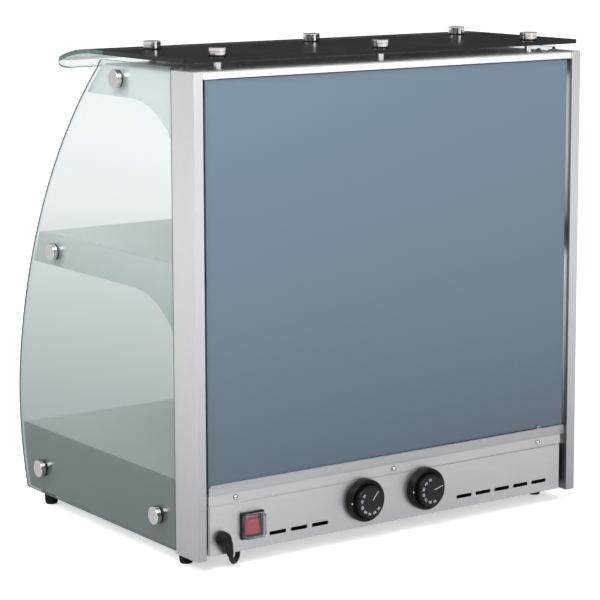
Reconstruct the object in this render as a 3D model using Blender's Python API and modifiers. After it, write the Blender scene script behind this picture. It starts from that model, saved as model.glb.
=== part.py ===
"""Two-tier heated display case for hot food, standing on a counter.

Frame: +Z up, origin on the counter under the middle of the case.  Customers stand at -Y and
reach in through the open front.  The staff side, with the door, switch and dials, is at +Y.
Lengths are metres; heights are above the counter, and "depth" runs forward from the staff face.
"""
import math

import bmesh
import bpy
from mathutils import Matrix, Vector

MM = 0.001
GAP = 0.3 * MM                    # between pieces that touch
CUT = 1.0 * MM                    # how far a cutter runs past the face it opens

# Driving dimensions
STAFF_FACE = 238.5 * MM           # y of the rear posts' outer face
CASE_WIDTH = 660 * MM             # over the two rear posts
FLOOR_CLEARANCE = 18 * MM         # counter to the lower end of the posts
POST_HEIGHT = 648 * MM
POST_DEPTH = 54 * MM
POST_WIDTH = 15 * MM
SHEET = 1.2 * MM                  # stainless steel sheet
PLATE = 3.0 * MM                  # side frames
GLASS = 6.0 * MM                  # side panes and top pane
DOOR_GLASS = 5.0 * MM


def height(above_post_end):
    """World z of a height measured in millimetres from the posts' lower ends."""
    return FLOOR_CLEARANCE + above_post_end * MM


def depth(forward):
    """World y of a depth measured in millimetres forward from the staff face."""
    return STAFF_FACE - forward * MM


SIDE_X = CASE_WIDTH / 2
POST_INNER_X = SIDE_X - POST_WIDTH
FRAME_OUT_X = SIDE_X - GLASS - 2 * MM         # outer face of a side frame
FRAME_IN_X = FRAME_OUT_X - PLATE
INSIDE_X = FRAME_IN_X - GAP                   # sheet parts end here between the frames

UNDERSIDE_Z = height(6)
DECK_Z = height(99)                           # heated floor of the lower tier
SHELF_LOW_Z = height(346.7)
SHELF_Z = height(391.3)                       # heated shelf of the upper tier
ROOF_LOW_Z = height(603)
ROOF_Z = height(646)
FRAME_TOP_Z = height(644.5)
UPRIGHT_DEPTH = (20, 35)                      # a side frame's upright, inside its post
FILLET_START = 160                            # depth where an arm's lower edge starts to curve
FILLET_R = 125 * MM
FRAME_INSET = 3 * MM                          # frame edge behind the pane's edge

# Side pane: front edge in two arcs that meet smoothly
UPPER_ARC = (depth(-259), height(80), 754 * MM)
ARC_JOIN_Z = height(216)
LOWER_ARC_R = 450 * MM
PANE_LOW_Z = height(4)
PANE_TOP_Z = height(651.5)
PANE_CORNER_R = 10 * MM
CAP_PLACES = ((187.6, 628), (373.7, 369), (421.5, 42), (98.6, 44))   # depth, height
CAP_R = 12.6 * MM
CAP_LENGTH = 8.7 * MM
CAP_NECK_R = 3.2 * MM

# Top pane with its down-turned visor
TOP_PANE_X = 334 * MM
TOP_PANE_BOTTOM_Z = height(658)
VISOR_START = 252
VISOR_R = 285 * MM                            # of the middle of the glass
VISOR_ANGLE = math.radians(26)
VISOR_CORNER_R = 45 * MM
STANDOFF_X = (-266 * MM, 0.0, 266 * MM)
STANDOFF_DEPTHS = (41, 205)
STANDOFF_R = 12.3 * MM
SPACER_R = 5.3 * MM
STANDOFF_HEAD = 11 * MM

# Staff side
PANEL_DEPTH = 7
PANEL_X = 307.5 * MM
PANEL_LOW_Z = height(2.3)
PANEL_TOP_Z = height(71.3)
PANEL_RETURN = 10.5 * MM
SILL_TOP_Z = height(84.6)
SILL_SCREW_X = (264.5 * MM, 0.0, -264.5 * MM)
SILL_SCREW_Z = height(78)
DECK_REAR = 18.6
DIAL_X = 53.5 * MM
DIAL_Z = height(42)
DIAL_R = 22.9 * MM
DIAL_FACE = -13
BEZEL_R = 30 * MM
BEZEL_FACE = -5
POINTER_LEFT = math.radians(50)               # where each dial's mark stands at rest
POINTER_RIGHT = math.radians(15)
SWITCH_X = 239.3 * MM
SWITCH_Z = height(36.5)
SWITCH_HALF = 18.4 * MM
ROCKER_TILT = math.radians(10)
ROCKER_PIVOT = 8
VENT_FIRST_X = 126.7 * MM
VENT_PITCH = 35.1 * MM
VENT_LENGTH = 31.5 * MM
VENT_HEIGHT = 5.2 * MM
VENT_Z = height(19.2)

# Door: glass in a bottom rail, turning on two pins beside the +X post
HINGE_X = 303 * MM
HINGE_DEPTH = 9.25
DOOR_FREE_X = -313.5 * MM
DOOR_HINGE_END_X = 308.5 * MM
DOOR_GLASS_FREE_X = -310.5 * MM
RAIL_LOW_Z = height(85)
RAIL_TOP_Z = height(99.5)
RAIL_DEPTHS = (4.5, 14)
GLASS_DEPTHS = (6.8, 11.8)
DOOR_TOP_Z = height(636.5)
LIP_LOW_Z = height(638)
PIN_R = 2.0 * MM

# Feet
FOOT_X = 307.5 * MM
FOOT_DEPTHS = (64, 438)

# Mains lead: out of the gland, under the case, into a coil in front of it
CORD_R = 3.5 * MM
GLAND_X = 287 * MM
GLAND_Z = height(25)
SLEEVE_START = Vector((GLAND_X, depth(-8.5), height(20)))
SLEEVE_WAY = Vector((-0.42, -0.42, -0.80)).normalized()
SLEEVE_LENGTH = 21 * MM
COIL_X = 54.3 * MM
COIL_Y = depth(552)
COIL_TURN_R = (45.7 * MM, 38.5 * MM, 31.3 * MM, 34.9 * MM, 42.1 * MM)
LAYER_RISE = 6.2 * MM
CORD_LIFT = CORD_R + 0.2 * MM                 # height of the lead's middle on the counter
CORD_STRAIGHT = 3 * MM                        # straight out of the sleeve before it bends
CORD_ROUTE = (                                # x and depth of points along the counter
    (238, 44), (214, 84), (190, 140), (167, 205), (146, 275),
    (129, 345), (115, 410), (105, 465), (100.6, 500), (100, 525),
)

for old in list(bpy.data.objects):
    bpy.data.objects.remove(old, do_unlink=True)

parts = bpy.data.collections.new("hot_food_display_case")
cutters = bpy.data.collections.new("cutters")
bpy.context.scene.collection.children.link(parts)
bpy.context.scene.collection.children.link(cutters)


def material(name, colour, roughness, metallic=0.0, alpha=1.0):
    made = bpy.data.materials.new(name)
    made.use_nodes = True
    shader = made.node_tree.nodes["Principled BSDF"]
    shader.inputs["Base Color"].default_value = (*colour, 1.0)
    shader.inputs["Roughness"].default_value = roughness
    shader.inputs["Metallic"].default_value = metallic
    shader.inputs["Alpha"].default_value = alpha
    return made


STAINLESS = material("stainless_steel", (0.62, 0.62, 0.63), 0.32, 1.0)
ALUMINIUM = material("anodised_aluminium", (0.60, 0.60, 0.62), 0.38, 1.0)
POLISHED = material("polished_steel", (0.70, 0.69, 0.68), 0.15, 1.0)
CLEAR_GLASS = material("clear_glass", (0.55, 0.66, 0.63), 0.03, 0.0, 0.35)
BLACK_GLASS = material("black_glass", (0.02, 0.02, 0.022), 0.06)
TINTED_GLASS = material("tinted_glass", (0.13, 0.18, 0.22), 0.05, 0.3)
BLACK_PLASTIC = material("black_plastic", (0.015, 0.015, 0.017), 0.4)
RED_PLASTIC = material("red_polycarbonate", (0.55, 0.02, 0.01), 0.25)
CLEAR_PLASTIC = material("clear_vinyl", (0.85, 0.85, 0.85), 0.1, 0.0, 0.3)
RUBBER = material("black_rubber", (0.02, 0.02, 0.02), 0.7)
HEATER = material("silicone_heating_mat", (0.45, 0.12, 0.05), 0.6)
WOOL = material("mineral_wool", (0.45, 0.40, 0.28), 0.95)
QUARTZ = material("quartz_lamp", (0.85, 0.80, 0.72), 0.1, 0.0, 0.6)


def place(obj, name, finish, home=parts):
    """Name an object, put it in one collection only and give it its material."""
    obj.name = name
    for old_home in list(obj.users_collection):
        old_home.objects.unlink(obj)
    home.objects.link(obj)
    if finish:
        obj.data.materials.clear()
        obj.data.materials.append(finish)
    return obj


def as_cutter(obj):
    place(obj, obj.name, None, cutters)
    obj.hide_render = True
    obj.display_type = "WIRE"
    return obj


def apply_scale(obj):
    obj.data.transform(Matrix.Diagonal((*obj.scale, 1.0)))
    obj.scale = (1.0, 1.0, 1.0)


def box(name, low, high, finish=None, bevel=0.0):
    """A box from its lowest to its highest corner."""
    low, high = Vector(low), Vector(high)
    bpy.ops.mesh.primitive_cube_add(size=1.0, location=(low + high) / 2)
    obj = bpy.context.object
    obj.scale = high - low
    apply_scale(obj)
    place(obj, name, finish)
    if bevel:
        rounding = obj.modifiers.new("edge_rounding", "BEVEL")
        rounding.width = bevel
        rounding.segments = 2
    return obj


def rod(name, start, end, radius, finish=None, end_radius=None, sides=24):
    """A cylinder, or a cone when end_radius is given, from one point to another."""
    start, end = Vector(start), Vector(end)
    way = end - start
    bpy.ops.mesh.primitive_cone_add(
        vertices=sides,
        radius1=radius,
        radius2=radius if end_radius is None else end_radius,
        depth=way.length,
        location=(start + end) / 2,
        rotation=way.to_track_quat("Z", "Y").to_euler(),
    )
    return place(bpy.context.object, name, finish)


def turned(name, profile, finish, place_at=(0, 0, 0), axis="Z", steps=24, closed=False):
    """A profile of (radius, height) points, top to bottom, spun about its own z axis."""
    mesh = bpy.data.meshes.new(name)
    points = [(radius, 0.0, along) for radius, along in profile]
    edges = [(i, i + 1) for i in range(len(points) - 1)]
    if closed:
        edges.append((len(points) - 1, 0))
    mesh.from_pydata(points, edges, [])
    obj = bpy.data.objects.new(name, mesh)
    parts.objects.link(obj)
    mesh.materials.append(finish)
    obj.location = place_at
    turns = {"Z": (0, 0, 0), "+X": (0, math.pi / 2, 0), "-X": (0, -math.pi / 2, 0),
             "+Y": (-math.pi / 2, 0, 0)}
    obj.rotation_euler = turns[axis]
    spin = obj.modifiers.new("spin", "SCREW")
    spin.steps = steps
    spin.render_steps = steps
    spin.use_merge_vertices = True
    spin.merge_threshold = 0.00001
    spin.use_smooth_shade = True
    return obj


def folded_sheet(name, profile, half_width, finish, thickness=SHEET):
    """A sheet whose middle follows (depth, height) points, folded and as long as the case."""
    shape = bmesh.new()
    corners = [shape.verts.new((-half_width, depth(d), height(h))) for d, h in profile]
    edges = [shape.edges.new(pair) for pair in zip(corners, corners[1:])]
    swept = bmesh.ops.extrude_edge_only(shape, edges=edges)
    moved = [item for item in swept["geom"] if isinstance(item, bmesh.types.BMVert)]
    bmesh.ops.translate(shape, verts=moved, vec=(2 * half_width, 0, 0))
    mesh = bpy.data.meshes.new(name)
    shape.to_mesh(mesh)
    shape.free()
    obj = bpy.data.objects.new(name, mesh)
    parts.objects.link(obj)
    mesh.materials.append(finish)
    wall = obj.modifiers.new("sheet_thickness", "SOLIDIFY")
    wall.thickness = thickness
    wall.offset = 0.0
    wall.use_even_offset = True
    return obj


def outline_plate(name, outline, thickness, finish, standing_x=None, level_z=None):
    """A flat plate cut to an outline: (y, z) at a standing x, or (x, y) at a level z."""
    curve = bpy.data.curves.new(name, "CURVE")
    curve.dimensions = "2D"
    curve.fill_mode = "BOTH"
    curve.extrude = thickness / 2
    spline = curve.splines.new("POLY")
    spline.points.add(len(outline) - 1)
    for point, (across, up) in zip(spline.points, outline):
        point.co = (across, up, 0.0, 1.0)
    spline.use_cyclic_u = True
    flat = bpy.data.objects.new(name, curve)
    parts.objects.link(flat)
    if standing_x is not None:
        flat.rotation_euler = (math.pi / 2, 0, math.pi / 2)
        flat.location = (standing_x, 0, 0)
    else:
        flat.location = (0, 0, level_z)
    return curve_to_mesh(flat, name, finish)


def curve_to_mesh(flat, name, finish):
    """Make a curve object a mesh object with its caps welded on."""
    bpy.context.view_layer.update()
    evaluated = flat.evaluated_get(bpy.context.evaluated_depsgraph_get())
    mesh = bpy.data.meshes.new_from_object(evaluated)
    shape = bmesh.new()
    shape.from_mesh(mesh)
    bmesh.ops.remove_doubles(shape, verts=shape.verts, dist=0.00001)
    shape.to_mesh(mesh)
    shape.free()
    obj = bpy.data.objects.new(name, mesh)
    obj.matrix_world = flat.matrix_world.copy()
    curve = flat.data
    bpy.data.objects.remove(flat)
    bpy.data.curves.remove(curve)
    obj.name = name
    parts.objects.link(obj)
    mesh.materials.clear()
    mesh.materials.append(finish)
    return obj


def arc_points(centre, radius, start, end, count):
    """Points on an arc; angles in radians, both ends included."""
    step = (end - start) / (count - 1)
    angles = [start + step * i for i in range(count)]
    return [(centre[0] + radius * math.cos(a), centre[1] + radius * math.sin(a)) for a in angles]


def join(target, tool, operation="UNION"):
    """Boolean with a tool that is used up."""
    change = target.modifiers.new(operation.lower(), "BOOLEAN")
    change.operation = operation
    change.object = as_cutter(tool)
    change.solver = "EXACT"


def cut(target, tool):
    join(target, tool, "DIFFERENCE")


def pane_front_y(z, inset=0.0):
    """y of the side pane's curved front edge at a height."""
    cy, cz, radius = UPPER_ARC
    lean = math.asin((ARC_JOIN_Z - cz) / radius)
    low_cy = cy - (radius - LOWER_ARC_R) * math.cos(lean)
    low_cz = cz + (radius - LOWER_ARC_R) * math.sin(lean)
    if z >= ARC_JOIN_Z:
        reach = radius - inset
        return cy - math.sqrt(reach ** 2 - (z - cz) ** 2)
    reach = LOWER_ARC_R - inset
    return low_cy - math.sqrt(reach ** 2 - (z - low_cz) ** 2)


def front_edge(z_low, z_high, count, inset=0.0):
    """Points up the curved front edge."""
    step = (z_high - z_low) / (count - 1)
    levels = [z_low + step * i for i in range(count)]
    return [(pane_front_y(z, inset), z) for z in levels]


def build_posts():
    for side, label in ((1, "left"), (-1, "right")):
        xs = sorted((side * POST_INNER_X, side * SIDE_X))
        low = (xs[0], depth(0) - POST_DEPTH, height(0))
        high = (xs[1], depth(0), height(0) + POST_HEIGHT)
        post = box(f"rear_post_{label}", low, high, ALUMINIUM, bevel=0.8 * MM)
        wall = 2 * MM
        core = box(
            f"post_core_{label}",
            (xs[0] + wall, low[1] + wall, low[2] - CUT),
            (xs[1] - wall, high[1] - wall, high[2] - wall),
        )
        cut(post, core)
        slot_xs = sorted((side * (FRAME_IN_X - GAP), side * (FRAME_OUT_X + GAP)))
        slot = box(
            f"post_slot_{label}",
            (slot_xs[0], low[1] - CUT, low[2] - CUT),
            (slot_xs[1], low[1] + 2 * wall, FRAME_TOP_Z + GAP),
        )
        cut(post, slot)


def side_frame_outline():
    """E-shaped frame: base cheek, shelf arm and roof arm on one upright."""
    rear_y = depth(UPRIGHT_DEPTH[0])
    upright_y = depth(UPRIGHT_DEPTH[1])
    outline = [(rear_y, UNDERSIDE_Z)]
    outline += front_edge(UNDERSIDE_Z, DECK_Z, 5, FRAME_INSET)
    outline.append((upright_y, DECK_Z))
    for arm_low, arm_top in ((SHELF_LOW_Z, SHELF_Z), (ROOF_LOW_Z, FRAME_TOP_Z)):
        centre = (upright_y - FILLET_R, arm_low - FILLET_R)
        outline += arc_points(centre, FILLET_R, 0.0, math.pi / 2, 9)
        outline += front_edge(arm_low, arm_top, 4, FRAME_INSET)
        if arm_top < FRAME_TOP_Z:
            outline.append((upright_y, arm_top))
    outline.append((rear_y, FRAME_TOP_Z))
    return outline


def side_pane_outline():
    """Pane with a curved front edge and a rounded upper front corner."""
    rear_y = depth(0) - POST_DEPTH - 2 * GAP
    outline = [(rear_y, PANE_LOW_Z)]
    corner_z = PANE_TOP_Z - PANE_CORNER_R
    outline += front_edge(PANE_LOW_Z, corner_z, 26)
    centre = (pane_front_y(corner_z) + PANE_CORNER_R * 1.25, corner_z)
    outline += arc_points(centre, PANE_CORNER_R, math.radians(150), math.radians(90), 5)
    outline.append((rear_y, PANE_TOP_Z))
    return outline


def build_sides():
    for side, label in ((1, "left"), (-1, "right")):
        frame_x = side * (FRAME_OUT_X - PLATE / 2)
        frame = outline_plate(
            f"side_frame_{label}", side_frame_outline(), PLATE, STAINLESS, standing_x=frame_x)
        pane_x = side * (SIDE_X - GLASS / 2)
        pane = outline_plate(
            f"side_glass_{label}", side_pane_outline(), GLASS, CLEAR_GLASS, standing_x=pane_x)
        for number, (cap_depth, cap_height) in enumerate(CAP_PLACES, 1):
            y, z = depth(cap_depth), height(cap_height)
            hole_start = (side * (FRAME_IN_X - CUT), y, z)
            hole_end = (side * (SIDE_X + CUT), y, z)
            hole_r = CAP_NECK_R + GAP
            cut(frame, rod(f"frame_hole_{label}_{number}", hole_start, hole_end, hole_r, sides=12))
            cut(pane, rod(f"pane_hole_{label}_{number}", hole_start, hole_end, hole_r, sides=12))
            stud_length = SIDE_X - FRAME_IN_X + 4 * MM
            rim = 0.8 * MM
            profile = (
                (0, CAP_LENGTH), (CAP_R - rim, CAP_LENGTH), (CAP_R, CAP_LENGTH - rim),
                (CAP_R, GAP), (CAP_NECK_R, GAP), (CAP_NECK_R, -stud_length), (0, -stud_length),
            )
            turned(
                f"pane_cap_{label}_{number}", profile, POLISHED, (side * SIDE_X, y, z),
                "+X" if side > 0 else "-X", steps=16)


def build_top_pane():
    """Flat glass whose front bends down as a visor, cut to a plan with round front corners."""
    middle = TOP_PANE_BOTTOM_Z + GLASS / 2
    flat_end = depth(VISOR_START)
    rear = depth(12)
    profile = [(rear, middle), (flat_end, middle)]
    segments = 10
    for i in range(1, segments + 1):
        angle = VISOR_ANGLE * i / segments
        profile.append(
            (flat_end - VISOR_R * math.sin(angle), middle - VISOR_R * (1 - math.cos(angle))))
    as_points = [((STAFF_FACE - y) / MM, (z - FLOOR_CLEARANCE) / MM) for y, z in profile]
    pane = folded_sheet("top_glass", as_points, TOP_PANE_X, BLACK_GLASS, GLASS)
    corner_front = profile[-1][0] - GLASS / 4
    r = VISOR_CORNER_R
    rear_r = 3 * MM
    plan = []
    plan += arc_points((TOP_PANE_X - r, corner_front + r), r, -math.pi / 2, 0, 9)
    plan += arc_points((TOP_PANE_X - rear_r, rear - rear_r), rear_r, 0, math.pi / 2, 4)
    plan += [(-x, y) for x, y in reversed(plan)]
    prism = outline_plate("visor_plan", plan, 120 * MM, None, level_z=middle)
    join(pane, prism, "INTERSECT")
    return pane


def build_standoffs(pane, roof):
    for row, row_depth in enumerate(STANDOFF_DEPTHS, 1):
        for column, x in enumerate(STANDOFF_X, 1):
            y = depth(row_depth)
            low = (x, y, ROOF_Z - 8 * MM)
            high = (x, y, TOP_PANE_BOTTOM_Z + GLASS + CUT)
            hole_r = CAP_NECK_R + GAP
            cut(pane, rod(f"glass_hole_{row}{column}", low, high, hole_r, sides=12))
            cut(roof, rod(f"roof_hole_{row}{column}", low, high, hole_r, sides=12))
            seat = TOP_PANE_BOTTOM_Z + GLASS + GAP
            head = seat + STANDOFF_HEAD
            rim = 0.8 * MM
            profile = (
                (0, head), (STANDOFF_R - rim, head), (STANDOFF_R, head - rim), (STANDOFF_R, seat),
                (CAP_NECK_R, seat), (CAP_NECK_R, TOP_PANE_BOTTOM_Z - GAP),
                (SPACER_R, TOP_PANE_BOTTOM_Z - GAP), (SPACER_R, ROOF_Z + GAP),
                (CAP_NECK_R, ROOF_Z + GAP), (CAP_NECK_R, ROOF_Z - 7 * MM), (0, ROOF_Z - 7 * MM),
            )
            turned(f"top_standoff_{row}{column}", profile, POLISHED, (x, y, 0), steps=16)


def notch_for_posts(sheet, label):
    """Cut a wide sheet back between the posts."""
    for side in (1, -1):
        xs = sorted((side * (POST_INNER_X - GAP), side * (FRAME_OUT_X + CUT)))
        low = (xs[0], depth(0) - POST_DEPTH - GAP, height(-2))
        high = (xs[1], depth(0) + CUT, height(0) + POST_HEIGHT + CUT)
        cut(sheet, box(f"{label}_notch_{side}", low, high))


def mid(outer, inward=1):
    """Millimetres of a sheet's middle whose outer face is at this millimetre value."""
    return outer - inward * SHEET / MM / 2


def front_depth(z, inset=5):
    """Depth in millimetres of a sheet part's front face at a height in millimetres."""
    return (STAFF_FACE - pane_front_y(height(z))) / MM - inset


def build_roof():
    lip = 2.0
    profile = (
        (18, mid(639.2)), (mid(lip, -1), mid(639.2)), (mid(lip, -1), mid(646)),
        (front_depth(645.4, 8), mid(646)), (front_depth(604), 604), (front_depth(604) - 16, 604),
    )
    roof = folded_sheet("roof_box", profile, INSIDE_X, STAINLESS)
    notch_for_posts(roof, "roof")
    pivot = (HINGE_X, depth(HINGE_DEPTH))
    hole = rod(
        "upper_pivot_hole", (*pivot, LIP_LOW_Z - CUT), (*pivot, LIP_LOW_Z + 5 * MM),
        PIN_R + GAP, sides=12)
    cut(roof, hole)
    rear, front = 60, front_depth(604) - 18
    lining = box(
        "roof_lining",
        (-INSIDE_X, depth(front), height(606)),
        (INSIDE_X, depth(rear), height(607.2)), STAINLESS)
    lamp_depth = 150
    opening = box(
        "lamp_opening",
        (-250 * MM, depth(lamp_depth + 26), height(604)),
        (250 * MM, depth(lamp_depth - 26), height(609)))
    cut(lining, opening)
    trough = (
        (lamp_depth - 33, 608.4), (lamp_depth - 27, 608.4), (lamp_depth - 16, 632),
        (lamp_depth + 16, 632), (lamp_depth + 27, 608.4), (lamp_depth + 33, 608.4),
    )
    folded_sheet("lamp_reflector", trough, 262 * MM, POLISHED, 0.8 * MM)
    tube_z = height(618)
    tube_y = depth(lamp_depth)
    half = 240 * MM
    profile = (
        (0, half), (7 * MM, half), (7 * MM, half - 18 * MM), (5 * MM, half - 20 * MM),
        (5 * MM, 20 * MM - half), (7 * MM, 18 * MM - half), (7 * MM, -half), (0, -half),
    )
    turned("heat_lamp", profile, QUARTZ, (0, tube_y, tube_z), "+X", steps=16)
    return roof


def build_shelf():
    rear = 57
    low_front = front_depth(347)
    profile = (
        (rear, 353), (rear, mid(391.3)), (front_depth(391), mid(391.3)),
        (low_front, 347.4), (low_front - 14, 347.4),
    )
    shelf = folded_sheet("shelf_tray", profile, INSIDE_X, STAINLESS)
    slot_count = 11
    first, last = 89, 384
    pitch = (last - first) / (slot_count - 1)
    for side in (1, -1):
        for i in range(slot_count):
            centre = first + pitch * i
            x = side * 312 * MM
            low = (x - 1.5 * MM, depth(centre + 7), SHELF_Z - 3 * MM)
            high = (x + 1.5 * MM, depth(centre - 7), SHELF_Z + CUT)
            cut(shelf, box(f"shelf_slot_{side}_{i}", low, high))
    box(
        "shelf_underside",
        (-INSIDE_X, depth(low_front - 3), height(348.4)),
        (INSIDE_X, depth(rear + 2), height(349.4)), STAINLESS)
    box(
        "shelf_heating_mat",
        (-290 * MM, depth(400), height(385)), (290 * MM, depth(70), height(389.7)), HEATER)


def build_base():
    front_low = front_depth(6.6)
    profile = (
        (DECK_REAR, 66), (DECK_REAR, mid(99)), (front_depth(98), mid(99)),
        (front_low, 6.6), (front_low - 14, 6.6),
    )
    deck = folded_sheet("base_deck", profile, INSIDE_X, STAINLESS)
    notch_for_posts(deck, "deck")
    for number, x in enumerate(SILL_SCREW_X, 1):
        start = (x, depth(DECK_REAR + 3), SILL_SCREW_Z)
        end = (x, depth(DECK_REAR - 3), SILL_SCREW_Z)
        cut(deck, rod(f"deck_screw_hole_{number}", start, end, 2.3 * MM, sides=12))
    pan_x = POST_INNER_X - 1 * MM
    pan_front = front_low - 8
    pan_profile = ((18.3, 8.6), (pan_front, 8.6), (pan_front, 88))
    folded_sheet("base_pan", pan_profile, pan_x, STAINLESS)
    inner = 290 * MM
    box(
        "base_heating_mat",
        (-inner, depth(450), height(92.5)), (inner, depth(72), height(97.4)), HEATER)
    box(
        "base_insulation",
        (-inner, depth(450), height(66)), (inner, depth(76), height(92.1)), WOOL)


def build_control_panel():
    low = (-PANEL_X, depth(PANEL_DEPTH) - PANEL_RETURN, PANEL_LOW_Z)
    high = (PANEL_X, depth(PANEL_DEPTH), PANEL_TOP_Z)
    panel = box("control_panel", low, high, STAINLESS)
    shape = bmesh.new()
    shape.from_mesh(panel.data)
    inner_face = [face for face in shape.faces if face.normal.y < -0.9]
    bmesh.ops.delete(shape, geom=inner_face, context="FACES_ONLY")
    front_edges = [edge for edge in shape.edges if not edge.is_boundary]
    bmesh.ops.bevel(shape, geom=front_edges, offset=1.6 * MM, segments=2, affect="EDGES")
    shape.to_mesh(panel.data)
    shape.free()
    wall = panel.modifiers.new("sheet_thickness", "SOLIDIFY")
    wall.thickness = SHEET
    wall.offset = -1.0
    for x in (DIAL_X, -DIAL_X):
        start = (x, depth(PANEL_DEPTH + 4), DIAL_Z)
        end = (x, depth(PANEL_DEPTH - 4), DIAL_Z)
        cut(panel, rod(f"dial_hole_{x:.3f}", start, end, 5 * MM, sides=20))
    half = 15 * MM
    cut(panel, box(
        "switch_opening",
        (SWITCH_X - half, depth(PANEL_DEPTH + 4), SWITCH_Z - half),
        (SWITCH_X + half, depth(PANEL_DEPTH - 4), SWITCH_Z + half)))
    start = (GLAND_X, depth(PANEL_DEPTH + 4), GLAND_Z)
    end = (GLAND_X, depth(PANEL_DEPTH - 4), GLAND_Z)
    cut(panel, rod("gland_opening", start, end, 8.3 * MM))
    vents = [VENT_FIRST_X + VENT_PITCH * i for i in range(3)]
    vents += [-VENT_FIRST_X - VENT_PITCH * i for i in range(5)]
    for number, x in enumerate(vents, 1):
        reach = VENT_LENGTH / 2
        vent = box(
            f"vent_{number}",
            (x - reach, depth(PANEL_DEPTH + 4), VENT_Z - VENT_HEIGHT / 2),
            (x + reach, depth(PANEL_DEPTH - 4), VENT_Z + VENT_HEIGHT / 2))
        shape = bmesh.new()
        shape.from_mesh(vent.data)
        ends = [e for e in shape.edges if abs((e.verts[0].co - e.verts[1].co).normalized().y) > 0.9]
        bmesh.ops.bevel(
            shape, geom=ends, offset=VENT_HEIGHT / 2 * 0.98, segments=3, affect="EDGES")
        shape.to_mesh(vent.data)
        shape.free()
        cut(panel, vent)


def build_sill():
    profile = (
        (mid(PANEL_DEPTH, -1), 71.9), (mid(PANEL_DEPTH, -1), 84.0), (17, 84.0),
    )
    sill = folded_sheet("sill_strip", profile, PANEL_X, STAINLESS)
    pivot = (HINGE_X, depth(HINGE_DEPTH))
    cut(sill, rod(
        "lower_pivot_hole", (*pivot, SILL_TOP_Z - 4 * MM), (*pivot, SILL_TOP_Z + CUT),
        PIN_R + GAP, sides=12))
    for number, x in enumerate(SILL_SCREW_X, 1):
        start = (x, depth(PANEL_DEPTH + 3), SILL_SCREW_Z)
        end = (x, depth(PANEL_DEPTH - 3), SILL_SCREW_Z)
        cut(sill, rod(f"sill_screw_hole_{number}", start, end, 2.3 * MM, sides=12))
        profile = (
            (0, 3.5 * MM), (1.8 * MM, 3.2 * MM), (3.2 * MM, 2.2 * MM), (3.9 * MM, 0.7 * MM),
            (3.9 * MM, GAP), (2 * MM, GAP), (2 * MM, -16 * MM), (0, -16 * MM),
        )
        turned(
            f"sill_screw_{number}", profile, POLISHED,
            (x, depth(PANEL_DEPTH), SILL_SCREW_Z), "+Y", steps=16)


def build_door():
    hinge = bpy.data.objects.new("door_axis", None)
    parts.objects.link(hinge)
    hinge.location = (HINGE_X, depth(HINGE_DEPTH), RAIL_LOW_Z)
    pane = box(
        "door_glass",
        (DOOR_GLASS_FREE_X, depth(GLASS_DEPTHS[1]), RAIL_LOW_Z + 3 * MM),
        (DOOR_HINGE_END_X - GAP, depth(GLASS_DEPTHS[0]), DOOR_TOP_Z), TINTED_GLASS, 0.4 * MM)
    rail = box(
        "door_rail",
        (DOOR_FREE_X, depth(RAIL_DEPTHS[1]), RAIL_LOW_Z),
        (DOOR_HINGE_END_X, depth(RAIL_DEPTHS[0]), RAIL_TOP_Z), ALUMINIUM)
    shape = bmesh.new()
    shape.from_mesh(rail.data)
    corners = [
        e for e in shape.edges
        if abs((e.verts[0].co - e.verts[1].co).normalized().y) > 0.9 and e.verts[0].co.z > 0]
    bmesh.ops.bevel(shape, geom=corners, offset=2.5 * MM, segments=3, affect="EDGES")
    shape.to_mesh(rail.data)
    shape.free()
    cut(rail, box(
        "rail_groove",
        (DOOR_FREE_X - CUT, depth(GLASS_DEPTHS[1]) - GAP, RAIL_LOW_Z + 3 * MM - GAP),
        (DOOR_HINGE_END_X + CUT, depth(GLASS_DEPTHS[0]) + GAP, RAIL_TOP_Z + CUT)))
    pivot = (HINGE_X, depth(HINGE_DEPTH))
    join(rail, rod(
        "lower_pin", (*pivot, SILL_TOP_Z - 4 * MM), (*pivot, RAIL_LOW_Z + 1.5 * MM), PIN_R,
        sides=12))
    tab_x = -265 * MM
    join(rail, box(
        "finger_tab",
        (tab_x - 4 * MM, depth(6.2), RAIL_TOP_Z - 4 * MM),
        (tab_x + 4 * MM, depth(4.7), RAIL_TOP_Z + 4 * MM)))
    clamp = box(
        "door_top_pivot",
        (HINGE_X - 14 * MM, depth(19), height(614)),
        (DOOR_HINGE_END_X, depth(GLASS_DEPTHS[1]) - GAP, LIP_LOW_Z - GAP), ALUMINIUM)
    join(clamp, box(
        "clamp_cap",
        (HINGE_X - 14 * MM, depth(16), DOOR_TOP_Z + GAP),
        (DOOR_HINGE_END_X, depth(GLASS_DEPTHS[0]), LIP_LOW_Z - GAP)))
    join(clamp, rod(
        "upper_pin", (*pivot, LIP_LOW_Z - 0.8 * MM), (*pivot, LIP_LOW_Z + 5 * MM), PIN_R,
        sides=12))
    bpy.context.view_layer.update()
    for leaf in (pane, rail, clamp):
        leaf.parent = hinge
        leaf.matrix_parent_inverse = hinge.matrix_world.inverted()


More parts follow.
